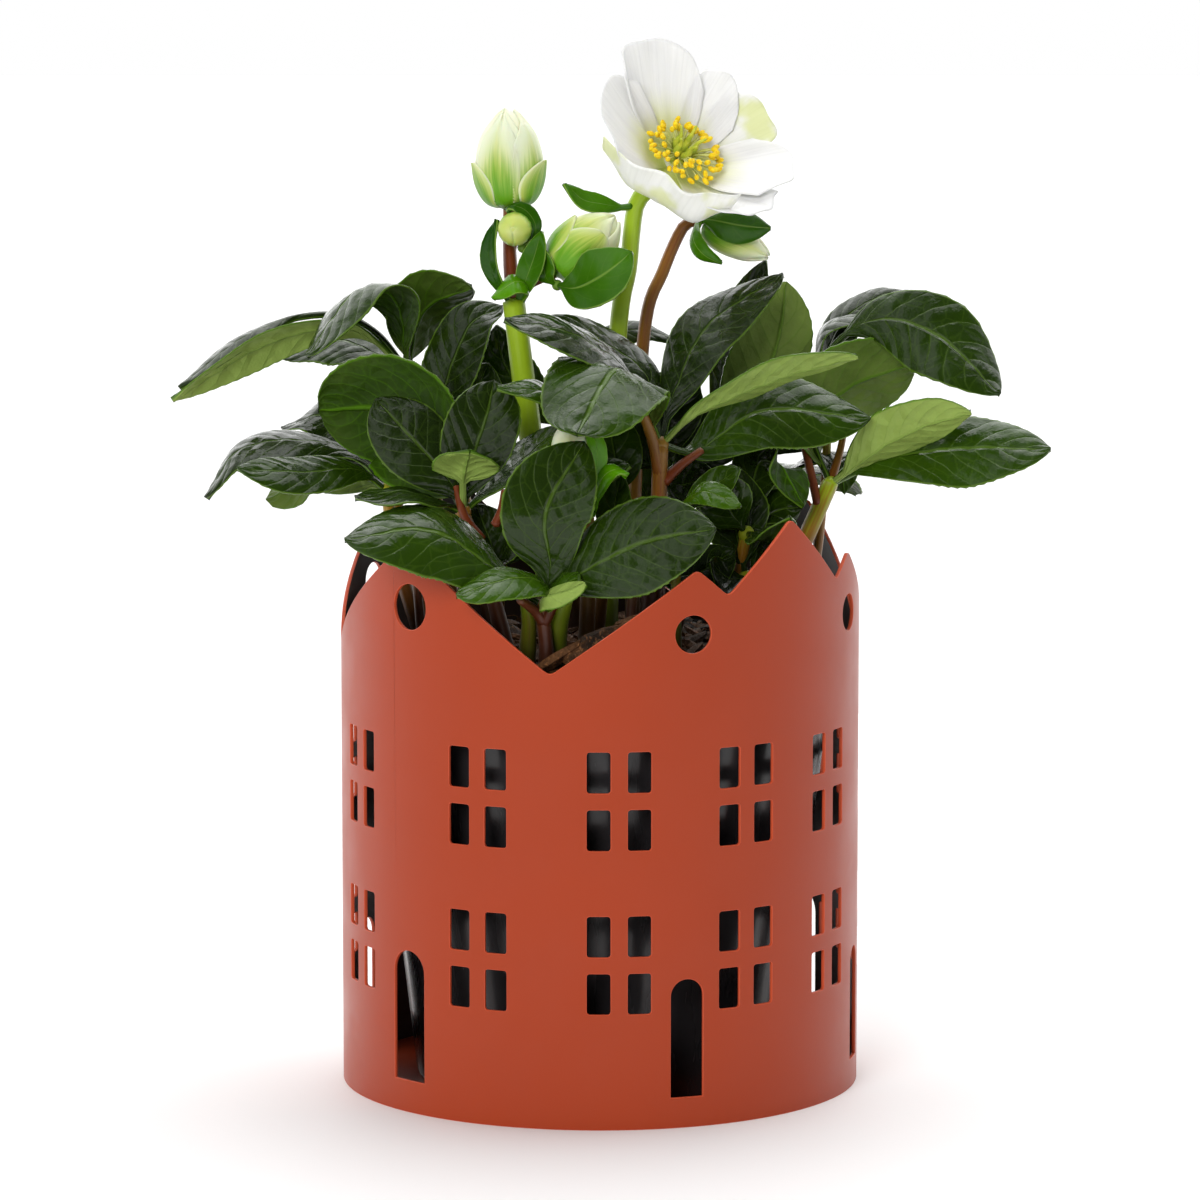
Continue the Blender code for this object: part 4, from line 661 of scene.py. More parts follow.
def axis_frame(axis):
    """An axis with two ways that stand square to it and to each other."""
    axis = unit(axis)
    right = unit(np.array([1.0, 0.0, 0.0]) - axis * axis[0])
    return axis, right, np.cross(axis, right)


def smooth_route(points, count):
    """A smooth curve through the points, read at count places evenly along its length."""
    points = np.asarray(points, float)
    ends = np.vstack([2 * points[0] - points[1], points, 2 * points[-1] - points[-2]])
    fine = []
    for i in range(1, len(ends) - 2):
        a, b, c, d = ends[i - 1:i + 3]
        for t in np.linspace(0.0, 1.0, 16, endpoint=False):
            fine.append(
                0.5 * (2 * b + (c - a) * t + (2 * a - 5 * b + 4 * c - d) * t * t
                       + (3 * b - a - 3 * c + d) * t ** 3)
            )
    fine.append(points[-1])
    fine = np.array(fine)
    along = np.concatenate([[0.0], np.cumsum(np.linalg.norm(np.diff(fine, axis=0), axis=1))])
    wanted = np.linspace(0.0, along[-1], count)
    return np.stack([np.interp(wanted, along, fine[:, k]) for k in range(3)], axis=1)


def tangents_of(route):
    steps = np.gradient(route, axis=0)
    return steps / np.linalg.norm(steps, axis=1)[:, None]


def ring_faces(first, rings, sides):
    """Faces between rings of points, where the first point of the first ring is given."""
    faces = []
    for i in range(rings - 1):
        for k in range(sides):
            a = first + i * sides + k
            b = first + i * sides + (k + 1) % sides
            faces.append((a, b, b + sides, a + sides))
    return faces


def fan_faces(first, sides, tip, upwards):
    """Faces from a ring of points to a tip above or below it."""
    faces = []
    for k in range(sides):
        a, b = first + k, first + (k + 1) % sides
        faces.append((a, b, tip) if upwards else (b, a, tip))
    return faces


class Skin:
    """Points in millimetres, faces and the values that the materials read, for one piece."""

    def __init__(self):
        self.points = []
        self.faces = []
        self.kinds = []
        self.marks = []
        self.count = 0

    def add(self, points, faces, across, along, tone, kind=0):
        points = np.asarray(points, float).reshape(-1, 3)
        self.points.append(points)
        self.faces += [tuple(self.count + i for i in face) for face in faces]
        self.kinds += [kind] * len(faces) if isinstance(kind, int) else kind
        self.marks.append([np.broadcast_to(values, len(points)) for values in (across, along, tone)])
        self.count += len(points)

    def finish(self, name, slot, nodes, *materials, smooth=True):
        """Makes the piece of all that was added, and finishes it."""
        mesh = bpy.data.meshes.new(name)
        points = np.concatenate(self.points) * MM
        mesh.from_pydata(points.tolist(), [], self.faces)
        marks = np.concatenate(self.marks, axis=1).astype(np.float32)
        corner = np.zeros(len(mesh.loops), np.int32)
        mesh.loops.foreach_get("vertex_index", corner)
        layer = mesh.uv_layers.new(name="surface")
        layer.data.foreach_set("uv", marks[:2, corner].T.ravel())
        tone = mesh.attributes.new("tone", "FLOAT", "POINT")
        tone.data.foreach_set("value", marks[2])
        for material in materials:
            mesh.materials.append(material)
        mesh.polygons.foreach_set("material_index", np.array(self.kinds, np.int32))
        if smooth:
            mesh.shade_smooth()
        mesh.update()
        made = bpy.data.objects.new(name, mesh)
        bpy.context.scene.collection.objects.link(made)
        finish_piece(made, name, slot, *nodes)


def sheet_faces(rows, columns):
    """Faces of a closed sheet: upper face, lower face and the rim, with their kinds."""
    under = rows * columns
    faces = []
    kinds = []
    for i in range(rows - 1):
        for j in range(columns - 1):
            a = i * columns + j
            b, c, d = a + 1, a + columns + 1, a + columns
            faces += [(a, d, c, b), (under + a, under + b, under + c, under + d)]
            kinds += [0, 1]
    rim = list(range(columns))
    rim += [i * columns + columns - 1 for i in range(1, rows)]
    rim += [(rows - 1) * columns + j for j in range(columns - 2, -1, -1)]
    rim += [i * columns for i in range(rows - 2, 0, -1)]
    for a, b in zip(rim, rim[1:] + rim[:1]):
        faces.append((a, b, under + b, under + a))
        kinds.append(1)
    return faces, kinds


def add_sheet(skin, grid, thickness, across, along, tone):
    """Adds a closed sheet about a grid; thickness may differ from point to point."""
    rows, columns = grid.shape[:2]
    offset = grid_normals(grid) * (0.5 * (thickness * np.ones((rows, columns))))[:, :, None]
    points = np.concatenate([(grid + offset).reshape(-1, 3), (grid - offset).reshape(-1, 3)])
    faces, kinds = sheet_faces(rows, columns)
    skin.add(points, faces, np.tile(across.ravel(), 2), np.tile(along.ravel(), 2), tone, kinds)


def add_tube(skin, route, diameters, sides, tone, ridge=0.0):
    """Adds a round stem along a route with rounded ends; diameters and tone run along it."""
    count = len(route)
    tangents = tangents_of(route)
    side = unit(np.cross(tangents[0], (0.35, 1.0, 0.12)))
    widths = np.interp(np.linspace(0, 1, count), np.linspace(0, 1, len(diameters)), diameters)
    tones = np.interp(np.linspace(0, 1, count), np.linspace(0, 1, len(tone)), tone)
    points = []
    marks = []
    for i in range(count):
        side = unit(side - tangents[i] * np.dot(side, tangents[i]))
        other = np.cross(tangents[i], side)
        for k, turn in enumerate(turns_round(sides)):
            radius = 0.5 * widths[i] * (1.0 + ridge * math.cos(3 * turn))
            points.append(route[i] + radius * spoke(side, other, turn))
            marks.append((k / sides, i / (count - 1), tones[i]))
    for end, way in ((0, -1.0), (count - 1, 1.0)):
        points.append(route[end] + tangents[end] * way * 0.25 * widths[end])
        marks.append((0.5, float(end > 0), tones[end]))
    tip = count * sides
    faces = ring_faces(0, count, sides) + fan_faces(0, sides, tip, False)
    faces += fan_faces(tip - sides, sides, tip + 1, True)
    skin.add(points, faces, *np.array(marks).T)


def add_ball(skin, centre, radii, axis, sides, rings, tone, kind=0):
    """Adds an egg-shaped ball along an axis, with (across, along) half lengths."""
    centre = np.asarray(centre, float)
    way = unit(axis)
    side = unit(np.cross(way, (0.31, 0.22, 1.0)))
    other = np.cross(way, side)
    points = [centre - way * radii[1]]
    for i in range(1, rings):
        lean = math.pi * i / rings
        for turn in turns_round(sides):
            out = radii[0] * math.sin(lean) * spoke(side, other, turn)
            points.append(centre - way * radii[1] * math.cos(lean) + out)
    points.append(centre + way * radii[1])
    last = len(points) - 1
    faces = fan_faces(1, sides, 0, False) + ring_faces(1, rings - 1, sides)
    faces += fan_faces(last - sides, sides, last, True)
    skin.add(points, faces, 0.5, 0.5, tone, kind)


# Materials

def shaded(colour, factor, added=0.0):
    """A colour made darker or lighter."""
    return tuple(min(factor * part + added, 1.0) for part in colour)


class Nodes:
    """Lays out the nodes of one tree."""

    def __init__(self, tree):
        self.tree = tree

    def put(self, socket, value):
        if isinstance(value, bpy.types.NodeSocket):
            self.tree.links.new(value, socket)
        elif socket.type == "RGBA":
            socket.default_value = (*value, 1.0)
        else:
            socket.default_value = value

    def node(self, kind, **inputs):
        made = self.tree.nodes.new(kind)
        for name, value in inputs.items():
            self.put(made.inputs[name.replace("_", " ")], value)
        return made

    def math(self, operation, *values):
        made = self.node("ShaderNodeMath")
        made.operation = operation
        for socket, value in zip(made.inputs, values):
            self.put(socket, value)
        return made.outputs[0]

    def plus(self, a, b):
        return self.math("ADD", a, b)

    def less(self, a, b):
        return self.math("SUBTRACT", a, b)

    def times(self, a, b):
        return self.math("MULTIPLY", a, b)

    def larger(self, a, b):
        return self.math("MAXIMUM", a, b)

    def scaled(self, value, factor, added):
        return self.math("MULTIPLY_ADD", value, factor, added)

    def size(self, value):
        return self.math("ABSOLUTE", value)

    def band(self, value, low, high, start=0.0, end=1.0):
        """A smooth step from start to end while the value goes from low to high."""
        made = self.node("ShaderNodeMapRange")
        made.interpolation_type = "SMOOTHSTEP"
        for socket, number in zip(made.inputs, (value, low, high, start, end)):
            self.put(socket, number)
        return made.outputs[0]

    def mix(self, share, a, b):
        """One colour turning into another as the share goes from 0 to 1."""
        made = self.node("ShaderNodeMix")
        made.data_type = "RGBA"
        for index, value in ((0, share), (6, a), (7, b)):
            self.put(made.inputs[index], value)
        return made.outputs[2]


class Finish(Nodes):
    """Lays out the nodes of one material."""

    def __init__(self, name, colour, roughness):
        self.material = bpy.data.materials.new(name)
        self.material.use_nodes = True
        self.material.diffuse_color = (*colour, 1.0)
        super().__init__(self.material.node_tree)
        self.shader = self.tree.nodes["Principled BSDF"]
        self.set("Base Color", colour)
        self.set("Roughness", roughness)

    def set(self, name, value):
        self.put(self.shader.inputs[name], value)

    def place(self):
        return self.node("ShaderNodeTexCoord").outputs["Object"]

    def surface(self):
        """The piece's own (across, along) and its tone."""
        uv = self.node("ShaderNodeUVMap")
        uv.uv_map = "surface"
        split = self.node("ShaderNodeSeparateXYZ", Vector=uv.outputs[0])
        tone = self.node("ShaderNodeAttribute")
        tone.attribute_name = "tone"
        return split.outputs[0], split.outputs[1], tone.outputs["Fac"]

    def away(self, across):
        """Distance from the middle of a leaf or sepal: 0 at its midrib, 1 at its edges."""
        return self.size(self.scaled(across, 2.0, -1.0))

    def noise(self, scale, detail=3.0, vector=None, distortion=0.0):
        made = self.node("ShaderNodeTexNoise", Vector=vector or self.place(), Scale=scale,
                         Detail=detail, Distortion=distortion)
        return made.outputs["Fac"]

    def streaks(self, across, along, count, scale, distortion=0.0):
        """Streaks that run along the surface, with a count of them side by side."""
        vector = self.node("ShaderNodeCombineXYZ", X=self.times(across, count), Y=along)
        return self.noise(scale, 4.0, vector.outputs[0], distortion)

    def stretched(self, stretch, scale, detail, distortion=0.0):
        """Noise that is drawn out along an axis of the piece."""
        made = self.node("ShaderNodeMapping", Vector=self.place())
        made.inputs["Scale"].default_value = stretch
        return self.noise(scale, detail, made.outputs[0], distortion)

    def cells(self, scale):
        """Distance from the edges of a net of small cells."""
        made = self.node("ShaderNodeTexVoronoi", Vector=self.place(), Scale=scale)
        made.feature = "DISTANCE_TO_EDGE"
        return made.outputs["Distance"]

    def rough(self, noise, low, high):
        self.set("Roughness", self.band(noise, 0.3, 0.7, low, high))

    def bump(self, height, distance, strength=1.0):
        made = self.node("ShaderNodeBump", Height=height, Distance=distance, Strength=strength)
        self.set("Normal", made.outputs[0])


def coat_material(name, colour, roughness=0.34):
    """Satin powder coat: faint mottling and a very fine orange peel."""
    made = Finish(name, colour, roughness)
    made.set("Base Color", made.mix(made.noise(14.0, 2.0), shaded(colour, 0.90), shaded(colour, 1.08)))
    made.rough(made.noise(60.0, 3.0), roughness - 0.03, roughness + 0.05)
    made.bump(made.noise(1500.0, 2.0), 0.00003, 0.25)
    made.set("Specular IOR Level", 0.3)
    return made.material


def plastic_material(name, colour):
    """Glossy black plastic with faint upright flow marks."""
    made = Finish(name, colour, 0.22)
    flow = made.stretched((1.0, 1.0, 0.08), 260.0, 3.0)
    made.rough(flow, 0.16, 0.30)
    made.bump(flow, 0.0001, 0.2)
    made.set("Base Color", made.mix(made.noise(40.0, 4.0), colour, shaded(colour, 2.0)))
    return made.material


def bark_material(name, dark, light, fibres):
    """Bark: dark cork with lighter fibres and a rough broken face."""
    made = Finish(name, dark, 0.85)
    tone = made.surface()[2]
    fibre = made.stretched((1.0, 0.25, 1.0), fibres, 6.0, 0.6)
    blotch = made.noise(110.0, 4.0)
    base = made.mix(made.band(blotch, 0.35, 0.65), dark, light)
    share = made.times(made.band(fibre, 0.52, 0.75), made.plus(tone, 0.15))
    made.set("Base Color", made.mix(share, base, shaded(light, 2.4)))
    made.bump(made.plus(fibre, blotch), 0.0012, 0.8)
    return made.material


def leaf_material(name, dark, light, vein, specular, relief=1.0, under=False):
    """A leathery leaf: midrib, arching side veins and a fine net, swollen in between."""
    made = Finish(name, light, 0.4)
    across, along, tone = made.surface()
    away = made.away(across)
    waver = made.scaled(made.noise(150.0, 2.0), 0.36, -0.18)
    turn = made.math("FRACT", made.plus(made.plus(along, waver), 100.0))
    from_vein = made.times(made.less(0.5, made.size(made.less(turn, 0.5))), 2.0)
    midrib = made.band(away, 0.015, 0.075, 1.0, 0.0)
    side = made.times(made.band(from_vein, 0.0, 0.17, 1.0, 0.0), made.band(away, 0.55, 0.98, 1.0, 0.25))
    cells = made.cells(190.0)
    net = made.band(cells, 0.0, 0.07, 1.0, 0.0)
    cloud = made.noise(55.0, 4.0)
    share = made.plus(tone, made.scaled(cloud, 0.5, -0.25))
    body = made.mix(made.band(share, 0.2 if under else 0.0, 1.0), dark, light)

    lines = made.larger(made.times(side, 0.38), made.times(net, 0.16))
    lines = made.larger(lines, made.times(midrib, 0.85))
    factor, added = (-0.75, 1.0) if under else (0.6, 0.3)
    lines = made.times(lines, made.scaled(tone, factor, added))
    if relief < 1.0:
        lines = made.larger(made.times(lines, relief), made.times(midrib, 0.45))
    lines = made.larger(lines, made.times(made.band(away, 0.94, 0.99), 0.7))
    made.set("Base Color", made.mix(lines, body, vein))

    swell = made.times(made.math("SQRT", made.math("MINIMUM", from_vein, 1.0)), 0.5)
    cushion = made.times(made.band(cells, 0.0, 0.5), 0.75 if under else 0.5)
    grain = made.times(made.band(made.cells(800.0), 0.0, 0.3), 0.05)
    height = made.plus(made.plus(swell, cushion), grain)
    height = made.less(height, made.times(midrib, 1.2))
    made.bump(height, (-0.0007 if under else 0.0005) * relief, 0.7)
    if under:
        made.rough(cloud, 0.40, 0.52)
    else:
        made.rough(made.noise(120.0, 3.0), 0.15, 0.27)
    made.set("Specular IOR Level", specular)
    return made.material


def stem_material(name, maroon, lime):
    """Fleshy stem: tone runs from maroon to lime, with fine streaks along it; painted shade darkens it near
    the soil.
    """
    made = Finish(name, lime, 0.4)
    across, along, tone = made.surface()
    streak = made.streaks(across, along, 9.0, 1.6)
    cloud = made.noise(70.0, 3.0)
    share = made.plus(tone, made.scaled(streak, 0.5, -0.25))
    share = made.plus(share, made.scaled(cloud, 0.4, -0.2))
    olive = (0.26, 0.12, 0.010)
    low = made.mix(made.band(share, 0.05, 0.5), maroon, olive)
    skin = made.mix(made.band(share, 0.45, 0.85), low, lime)
    # Painted shade: the stalks turn dark brown towards the soil, below about 150 mm up.
    height = made.node("ShaderNodeSeparateXYZ", Vector=made.place()).outputs[2]
    foot_painted_shade = (0.016, 0.007, 0.004)
    made.set("Base Color", made.mix(made.band(height, 0.119, 0.150, 0.92, 0.0), skin, foot_painted_shade))
    made.rough(cloud, 0.32, 0.48)
    made.bump(streak, 0.0004, 0.35)
    return made.material


def sepal_material(name, white, green):
    """White sepal with faint long veins, and green-yellow towards its base."""
    made = Finish(name, white, 0.5)
    across, along, tone = made.surface()
    streak = made.streaks(across, along, 26.0, 1.0, 0.4)
    faint = made.mix(made.band(streak, 0.4, 0.7), white, shaded(white, 0.93))
    base = made.band(made.plus(along, made.scaled(streak, 0.16, -0.08)), 0.14, 0.66, 1.0, 0.0)
    tint = made.times(made.times(tone, 1.3), made.band(made.noise(85.0, 3.0), 0.44, 0.62, 0.12, 1.0))
    made.set("Base Color", made.mix(made.larger(made.times(base, 0.9), tint), faint, green))
    made.bump(streak, 0.0003, 0.35)
    made.set("Subsurface Weight", 0.25)
    made.set("Subsurface Radius", (1.0, 1.0, 0.8))
    made.set("Subsurface Scale", 0.002)
    return made.material


def bud_material(name, cream, green):
    """Bud sepal: green streaks that climb from the base and fade into cream at the edges."""
    made = Finish(name, cream, 0.42)
    across, along, tone = made.surface()
    away = made.away(across)
    streak = made.streaks(across, along, 16.0, 1.3, 0.3)
    climb = made.plus(made.plus(along, made.scaled(streak, 0.7, -0.35)), made.times(away, 0.2))
    climb = made.less(climb, made.times(tone, 0.2))
    share = made.times(made.band(climb, 0.15, 0.68, 1.0, 0.0), made.band(away, 0.6, 0.95, 1.0, 0.1))
    fade = made.plus(made.less(along, made.times(tone, 0.7)), made.times(away, 0.4))
    yellow_green = (0.53, 0.61, 0.12)
    pale_edge = (0.78, 0.80, 0.58)
    skin = made.mix(share, made.mix(made.band(fade, 0.28, 0.95), yellow_green, cream), green)
    made.set("Base Color", made.mix(made.band(away, 0.90, 0.985, 0.0, 0.7), skin, pale_edge))
    made.bump(streak, 0.0004, 0.4)
    made.set("Subsurface Weight", 0.15)
    made.set("Subsurface Scale", 0.002)
    return made.material


def grain_material(name, colour, darker, scale, roughness=0.6):
    """A small part with a mealy surface."""
    made = Finish(name, colour, roughness)
    cloud = made.noise(scale, 4.0)
    made.set("Base Color", made.mix(made.band(cloud, 0.35, 0.7), colour, darker))
    made.rough(cloud, roughness - 0.08, roughness + 0.1)
    made.bump(made.noise(3.0 * scale, 3.0), 0.0003, 0.5)
    return made.material


def floor_material():
    """Pale studio floor."""
    made = Finish("studio_floor", (0.9, 0.9, 0.9), 0.7)
    made.set("Base Color", made.mix(made.noise(3.0, 2.0), (0.89, 0.885, 0.88), (0.91, 0.91, 0.91)))
    made.bump(made.noise(900.0, 2.0), 0.00005, 0.1)
    return made.material


# Sleeve

def sleeve_place(angle, radius, height):
    turn = math.radians(angle)
    return (radius * math.sin(turn), -radius * math.cos(turn), height)


def gable_height(angle):
    """Height of the sleeve's upper edge at an angle, with blunted peaks and valleys."""
    first = GABLE_LINE[0]
    angles, heights = zip(*GABLE_LINE, (first[0] + 360.0, first[1]))
    near = np.linspace(angle - PEAK_BLUNTING, angle + PEAK_BLUNTING, 9)
    near = (near - first[0]) % 360.0 + first[0]
    return float(np.mean(np.interp(near, angles, heights)))


def pane_columns(radius):
    """The angles of the upright rows of panes: two for each window."""
    pitch = math.degrees(PANE_HALF_PITCH / radius)
    return [middle + side * pitch for middle in WINDOW_ANGLES for side in (-1, 1)]


def sleeve_angles(radius):
    """The angles of the sheet's columns: even steps clear of every upright cut, closer at corners."""
    corners = [corner[0] for corner in GABLE_LINE]
    cuts = [(middle, PANE_WIDTH) for middle in pane_columns(radius)]
    cuts += [door[:2] for door in DOORS]
    sides = [middle + side * math.degrees(math.asin(0.5 * width / radius))
             for middle, width in cuts for side in (-1, 1)]

    def gap(angle, others):
        return min(abs((angle - other + 180.0) % 360.0 - 180.0) for other in others)

    kept = [corner + step for corner in corners for step in CORNER_COLUMNS]
    even = [COLUMN_STEP * k + FIRST_COLUMN for k in range(round(360.0 / COLUMN_STEP))]
    kept += [angle for angle in even if gap(angle, corners) > CLEAR_OF_CORNER]
    kept = [angle for angle in kept if gap(angle, sides) > CLEAR_OF_CUT]
    return sorted({round(angle % 360.0, 3) for angle in corners + kept})


def wall_prisms(name, cuts, radius):
    """One cutter of prisms through the wall, from (angle, outline of across and up)."""
    points = []
    faces = []
    for angle, outline in cuts:
        turn = math.radians(angle)
        outwards = np.array([math.sin(turn), -math.cos(turn), 0.0])
        across = np.array([math.cos(turn), math.sin(turn), 0.0])
        start = len(points)
        count = len(outline)
        for depth in (radius - CUTTER_REACH, radius + CUTTER_REACH):
            for x, z in outline:
                points.append(outwards * depth + across * x + np.array([0.0, 0.0, z]))
        faces.append([start + i for i in range(count)])
        faces.append([start + i for i in range(2 * count - 1, count - 1, -1)])
        faces += ring_faces(start, 2, count)
    mesh = bpy.data.meshes.new(name)
    mesh.from_pydata([tuple(p * MM) for p in points], [], faces)
    made = bpy.data.objects.new(name, mesh)
    bpy.context.scene.collection.objects.link(made)
    face_outwards(made)
    return made


def pane_outline(corner):
    """A window pane about its middle, with four rounded corners."""
    half_width = 0.5 * PANE_WIDTH - corner
    half_height = 0.5 * PANE_HEIGHT - corner
    outline = []
    for quarter, (x, z) in enumerate(((1, 1), (-1, 1), (-1, -1), (1, -1))):
        for k in range(5):
            turn = math.pi * (4 * quarter + k) / 8
            out, up = level_place(corner, turn)
            outline.append((x * half_width + out, z * half_height + up))
    return outline


def sleeve_cuts(radius, corner):
    """All windows, doors and round holes as (angle, outline)."""
    cuts = []
    pane = pane_outline(corner)
    for middle in pane_columns(radius):
        for row in WINDOW_ROWS:
            for level in (-1, 1):
                z = row + level * PANE_HALF_RISE
                cuts.append((middle, [(x, z + h) for x, h in pane]))
    for angle, width, sill, spring in DOORS:
        half = 0.5 * width
        turns = [math.pi * k / 16 for k in range(17)]
        head = [(half * math.cos(turn), spring + half * math.sin(turn)) for turn in turns]
        cuts.append((angle, [(-half, sill), (half, sill)] + head))
    for angle, height, diameter in ROUND_HOLES:
        ring = [level_place(0.5 * diameter, turn) for turn in turns_round(32)]
        cuts.append((angle, [(x, height + z) for x, z in ring]))
    return cuts


def roll_normals(mesh):
    """Turns the shading of the sheet's two broad faces to that of a true cylinder."""
    normals = [Vector(loop.vector) for loop in mesh.corner_normals]
    for face in mesh.polygons:
        if face.material_index == CUT_EDGE:
            continue
        way = 1.0 if face.material_index == 0 else -1.0
        for corner in face.loop_indices:
            place = mesh.vertices[mesh.loops[corner].vertex_index].co
            normals[corner] = way * Vector((place.x, place.y, 0.0)).normalized()
    mesh.normals_split_custom_set(normals)


class PLANT_OT_sleeve(bpy.types.Operator):
    """Rolls the sheet, cuts gables, windows, doors and round holes, and rounds the edges"""
    bl_idname = "plant.sleeve"
    bl_label = "Sleeve"

    def execute(self, context):
        look = context.scene.sleeve_look
        radius = look.radius / MM
        angles = sleeve_angles(radius)
        deselect()
        bpy.ops.mesh.primitive_circle_add(vertices=len(angles), radius=look.radius, location=(0, 0, 0))
        sheet = context.object
        bpy.ops.object.mode_set(mode="EDIT")
        bpy.ops.mesh.extrude_edges_move(TRANSFORM_OT_translate={"value": (0.0, 0.0, ROUGH_HEIGHT)})
        bpy.ops.object.mode_set(mode="OBJECT")
        around = sorted(sheet.data.vertices, key=lambda vertex: math.atan2(vertex.co.y, vertex.co.x))
        low = [vertex for vertex in around if vertex.co.z < 0.5 * ROUGH_HEIGHT]
        top = [vertex for vertex in around if vertex.co.z > 0.5 * ROUGH_HEIGHT]
        if not len(low) == len(top) == len(angles):
            raise RuntimeError("the sheet's two rings differ")
        for angle, below, above in zip(sorted(angles, key=lambda a: (a + 90.0) % 360.0), low, top):
            below.co = Vector(sleeve_place(angle, radius, 0.0)) * MM
            above.co = Vector(sleeve_place(angle, radius, gable_height(angle))) * MM
        face_outwards(sheet)

        outer = coat_material("sleeve_powder_coat", look.coat)
        inner = coat_material("sleeve_inner_face", look.inside, 0.38)
        # The cut edges get the coat colour 1.5 times lighter: a painted highlight along every cut edge.
        rim = coat_material("sleeve_cut_edge_highlight", shaded(look.coat, 1.5, 0.02), 0.35)
        cutter = wall_prisms("opening_cutter", sleeve_cuts(radius, look.corner / MM), radius)
        for piece in (sheet, cutter):
            for material in (outer, inner, rim):
                piece.data.materials.append(material)
        for face in cutter.data.polygons:
            face.material_index = CUT_EDGE
        wall = sheet.modifiers.new("Wall", "SOLIDIFY")
        wall.thickness = look.sheet
        wall.offset = -1.0
        wall.material_offset = 1
        wall.material_offset_rim = CUT_EDGE
        add_cut(sheet, cutter)
        edge = add_bevel(sheet, look.edge)
        edge.angle_limit = math.radians(50)
        edge.use_clamp_overlap = False
        edge.material = CUT_EDGE
        apply_all(sheet)
        bpy.data.objects.remove(cutter, do_unlink=True)
        shade_by_angle(sheet, 40)
        roll_normals(sheet.data)
        finish_piece(sheet, "sleeve_sheet", "sleeve_coat", "house_sleeve")
        return {"FINISHED"}


class PLANT_OT_base(bpy.types.Operator):
    """Adds the disc that closes the sleeve below"""
    bl_idname = "plant.base"
    bl_label = "Sleeve base"

    def execute(self, context):
        low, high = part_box("sleeve_base")
        deselect()
        bpy.ops.mesh.primitive_cylinder_add(vertices=128, radius=0.5 * (high.x - low.x), depth=high.z - low.z,
                                            location=(0, 0, 0.5 * (low.z + high.z)))
        disc = context.object
        bpy.ops.object.transform_apply(location=True)
        add_bevel(disc, 0.0002)
        apply_all(disc)
        shade_by_angle(disc, 30)
        disc.data.materials.append(coat_material("base_powder_coat", context.scene.sleeve_look.coat))
        finish_piece(disc, "base_disc", "sleeve_coat", "sleeve_base")
        return {"FINISHED"}


# Pot

def pot_radius(height):
    share = (height - POT_FLOOR) / (POT_HEIGHT - POT_FLOOR)
    return POT_FOOT_RADIUS + (POT_TOP_RADIUS - POT_FOOT_RADIUS) * share


def turned_piece(profile, segments):
    """A turned solid: a filled circle is extruded from ring to ring of a profile in mm."""
    deselect()
    radius, height = profile[0]
    bpy.ops.mesh.primitive_circle_add(vertices=segments, radius=radius * MM, fill_type="NGON",
                                      location=(0, 0, 0))
    made = bpy.context.object
    for vertex in made.data.vertices:
        vertex.co.z = height * MM
    bpy.ops.object.mode_set(mode="EDIT")
    bpy.ops.mesh.select_mode(type="EDGE")
    bpy.ops.mesh.select_all(action="SELECT")
    for after, up in profile[1:]:
        bpy.ops.mesh.extrude_edges_move(TRANSFORM_OT_translate={"value": (0.0, 0.0, (up - height) * MM)})
        wider = after / radius
        bpy.ops.transform.resize(value=(wider, wider, 1.0), center_override=(0.0, 0.0, up * MM))
        radius, height = after, up
    bpy.ops.mesh.edge_face_add()
    bpy.ops.object.mode_set(mode="OBJECT")
    face_outwards(made)
    return made


class PLANT_OT_pot(bpy.types.Operator):
    """Turns the nursery pot with its rim and drain holes"""
    bl_idname = "plant.pot"
    bl_label = "Nursery pot"

    def execute(self, context):
        rim_low = POT_HEIGHT - POT_RIM_DEPTH
        pot = turned_piece((
            (POT_FOOT_RADIUS - 1.5, POT_FLOOR), (POT_FOOT_RADIUS - 0.4, POT_FLOOR + 0.4),
            (POT_FOOT_RADIUS, POT_FLOOR + 1.5), (pot_radius(rim_low), rim_low),
            (POT_RIM_RADIUS - 0.4, rim_low + 0.7), (POT_RIM_RADIUS, rim_low + 1.5),
            (POT_RIM_RADIUS, POT_HEIGHT - 0.5), (POT_RIM_RADIUS - 0.5, POT_HEIGHT),
            (POT_TOP_RADIUS - POT_WALL, POT_HEIGHT), (pot_radius(POT_INSIDE) - POT_WALL, POT_INSIDE),
        ), 128)
        drains = [level_place(DRAIN_AWAY, turn) for turn in turns_round(4, 0.5)]
        for x, y in [*drains, (0.0, 0.0)]:
            deselect()
            bpy.ops.mesh.primitive_cylinder_add(vertices=24, radius=0.5 * DRAIN_HOLE * MM, depth=6 * MM,
                                                location=(x * MM, y * MM, 2 * MM))
            drill = context.object
            add_cut(pot, drill)
            apply_all(pot)
            bpy.data.objects.remove(drill, do_unlink=True)
        shade_by_angle(pot, 30)
        pot.data.materials.append(plastic_material("black_plastic", context.scene.sleeve_look.pot))
        finish_piece(pot, "pot_shell", "pot_plastic", "nursery_pot")
        return {"FINISHED"}


# Soil

def soil_height(x, y):
    reach = POT_TOP_RADIUS - POT_WALL
    share = min(math.hypot(x, y) / reach, 1.0)
    return POT_HEIGHT - SOIL_EDGE_DEPTH + SOIL_DOME * (1.0 - share ** 3)


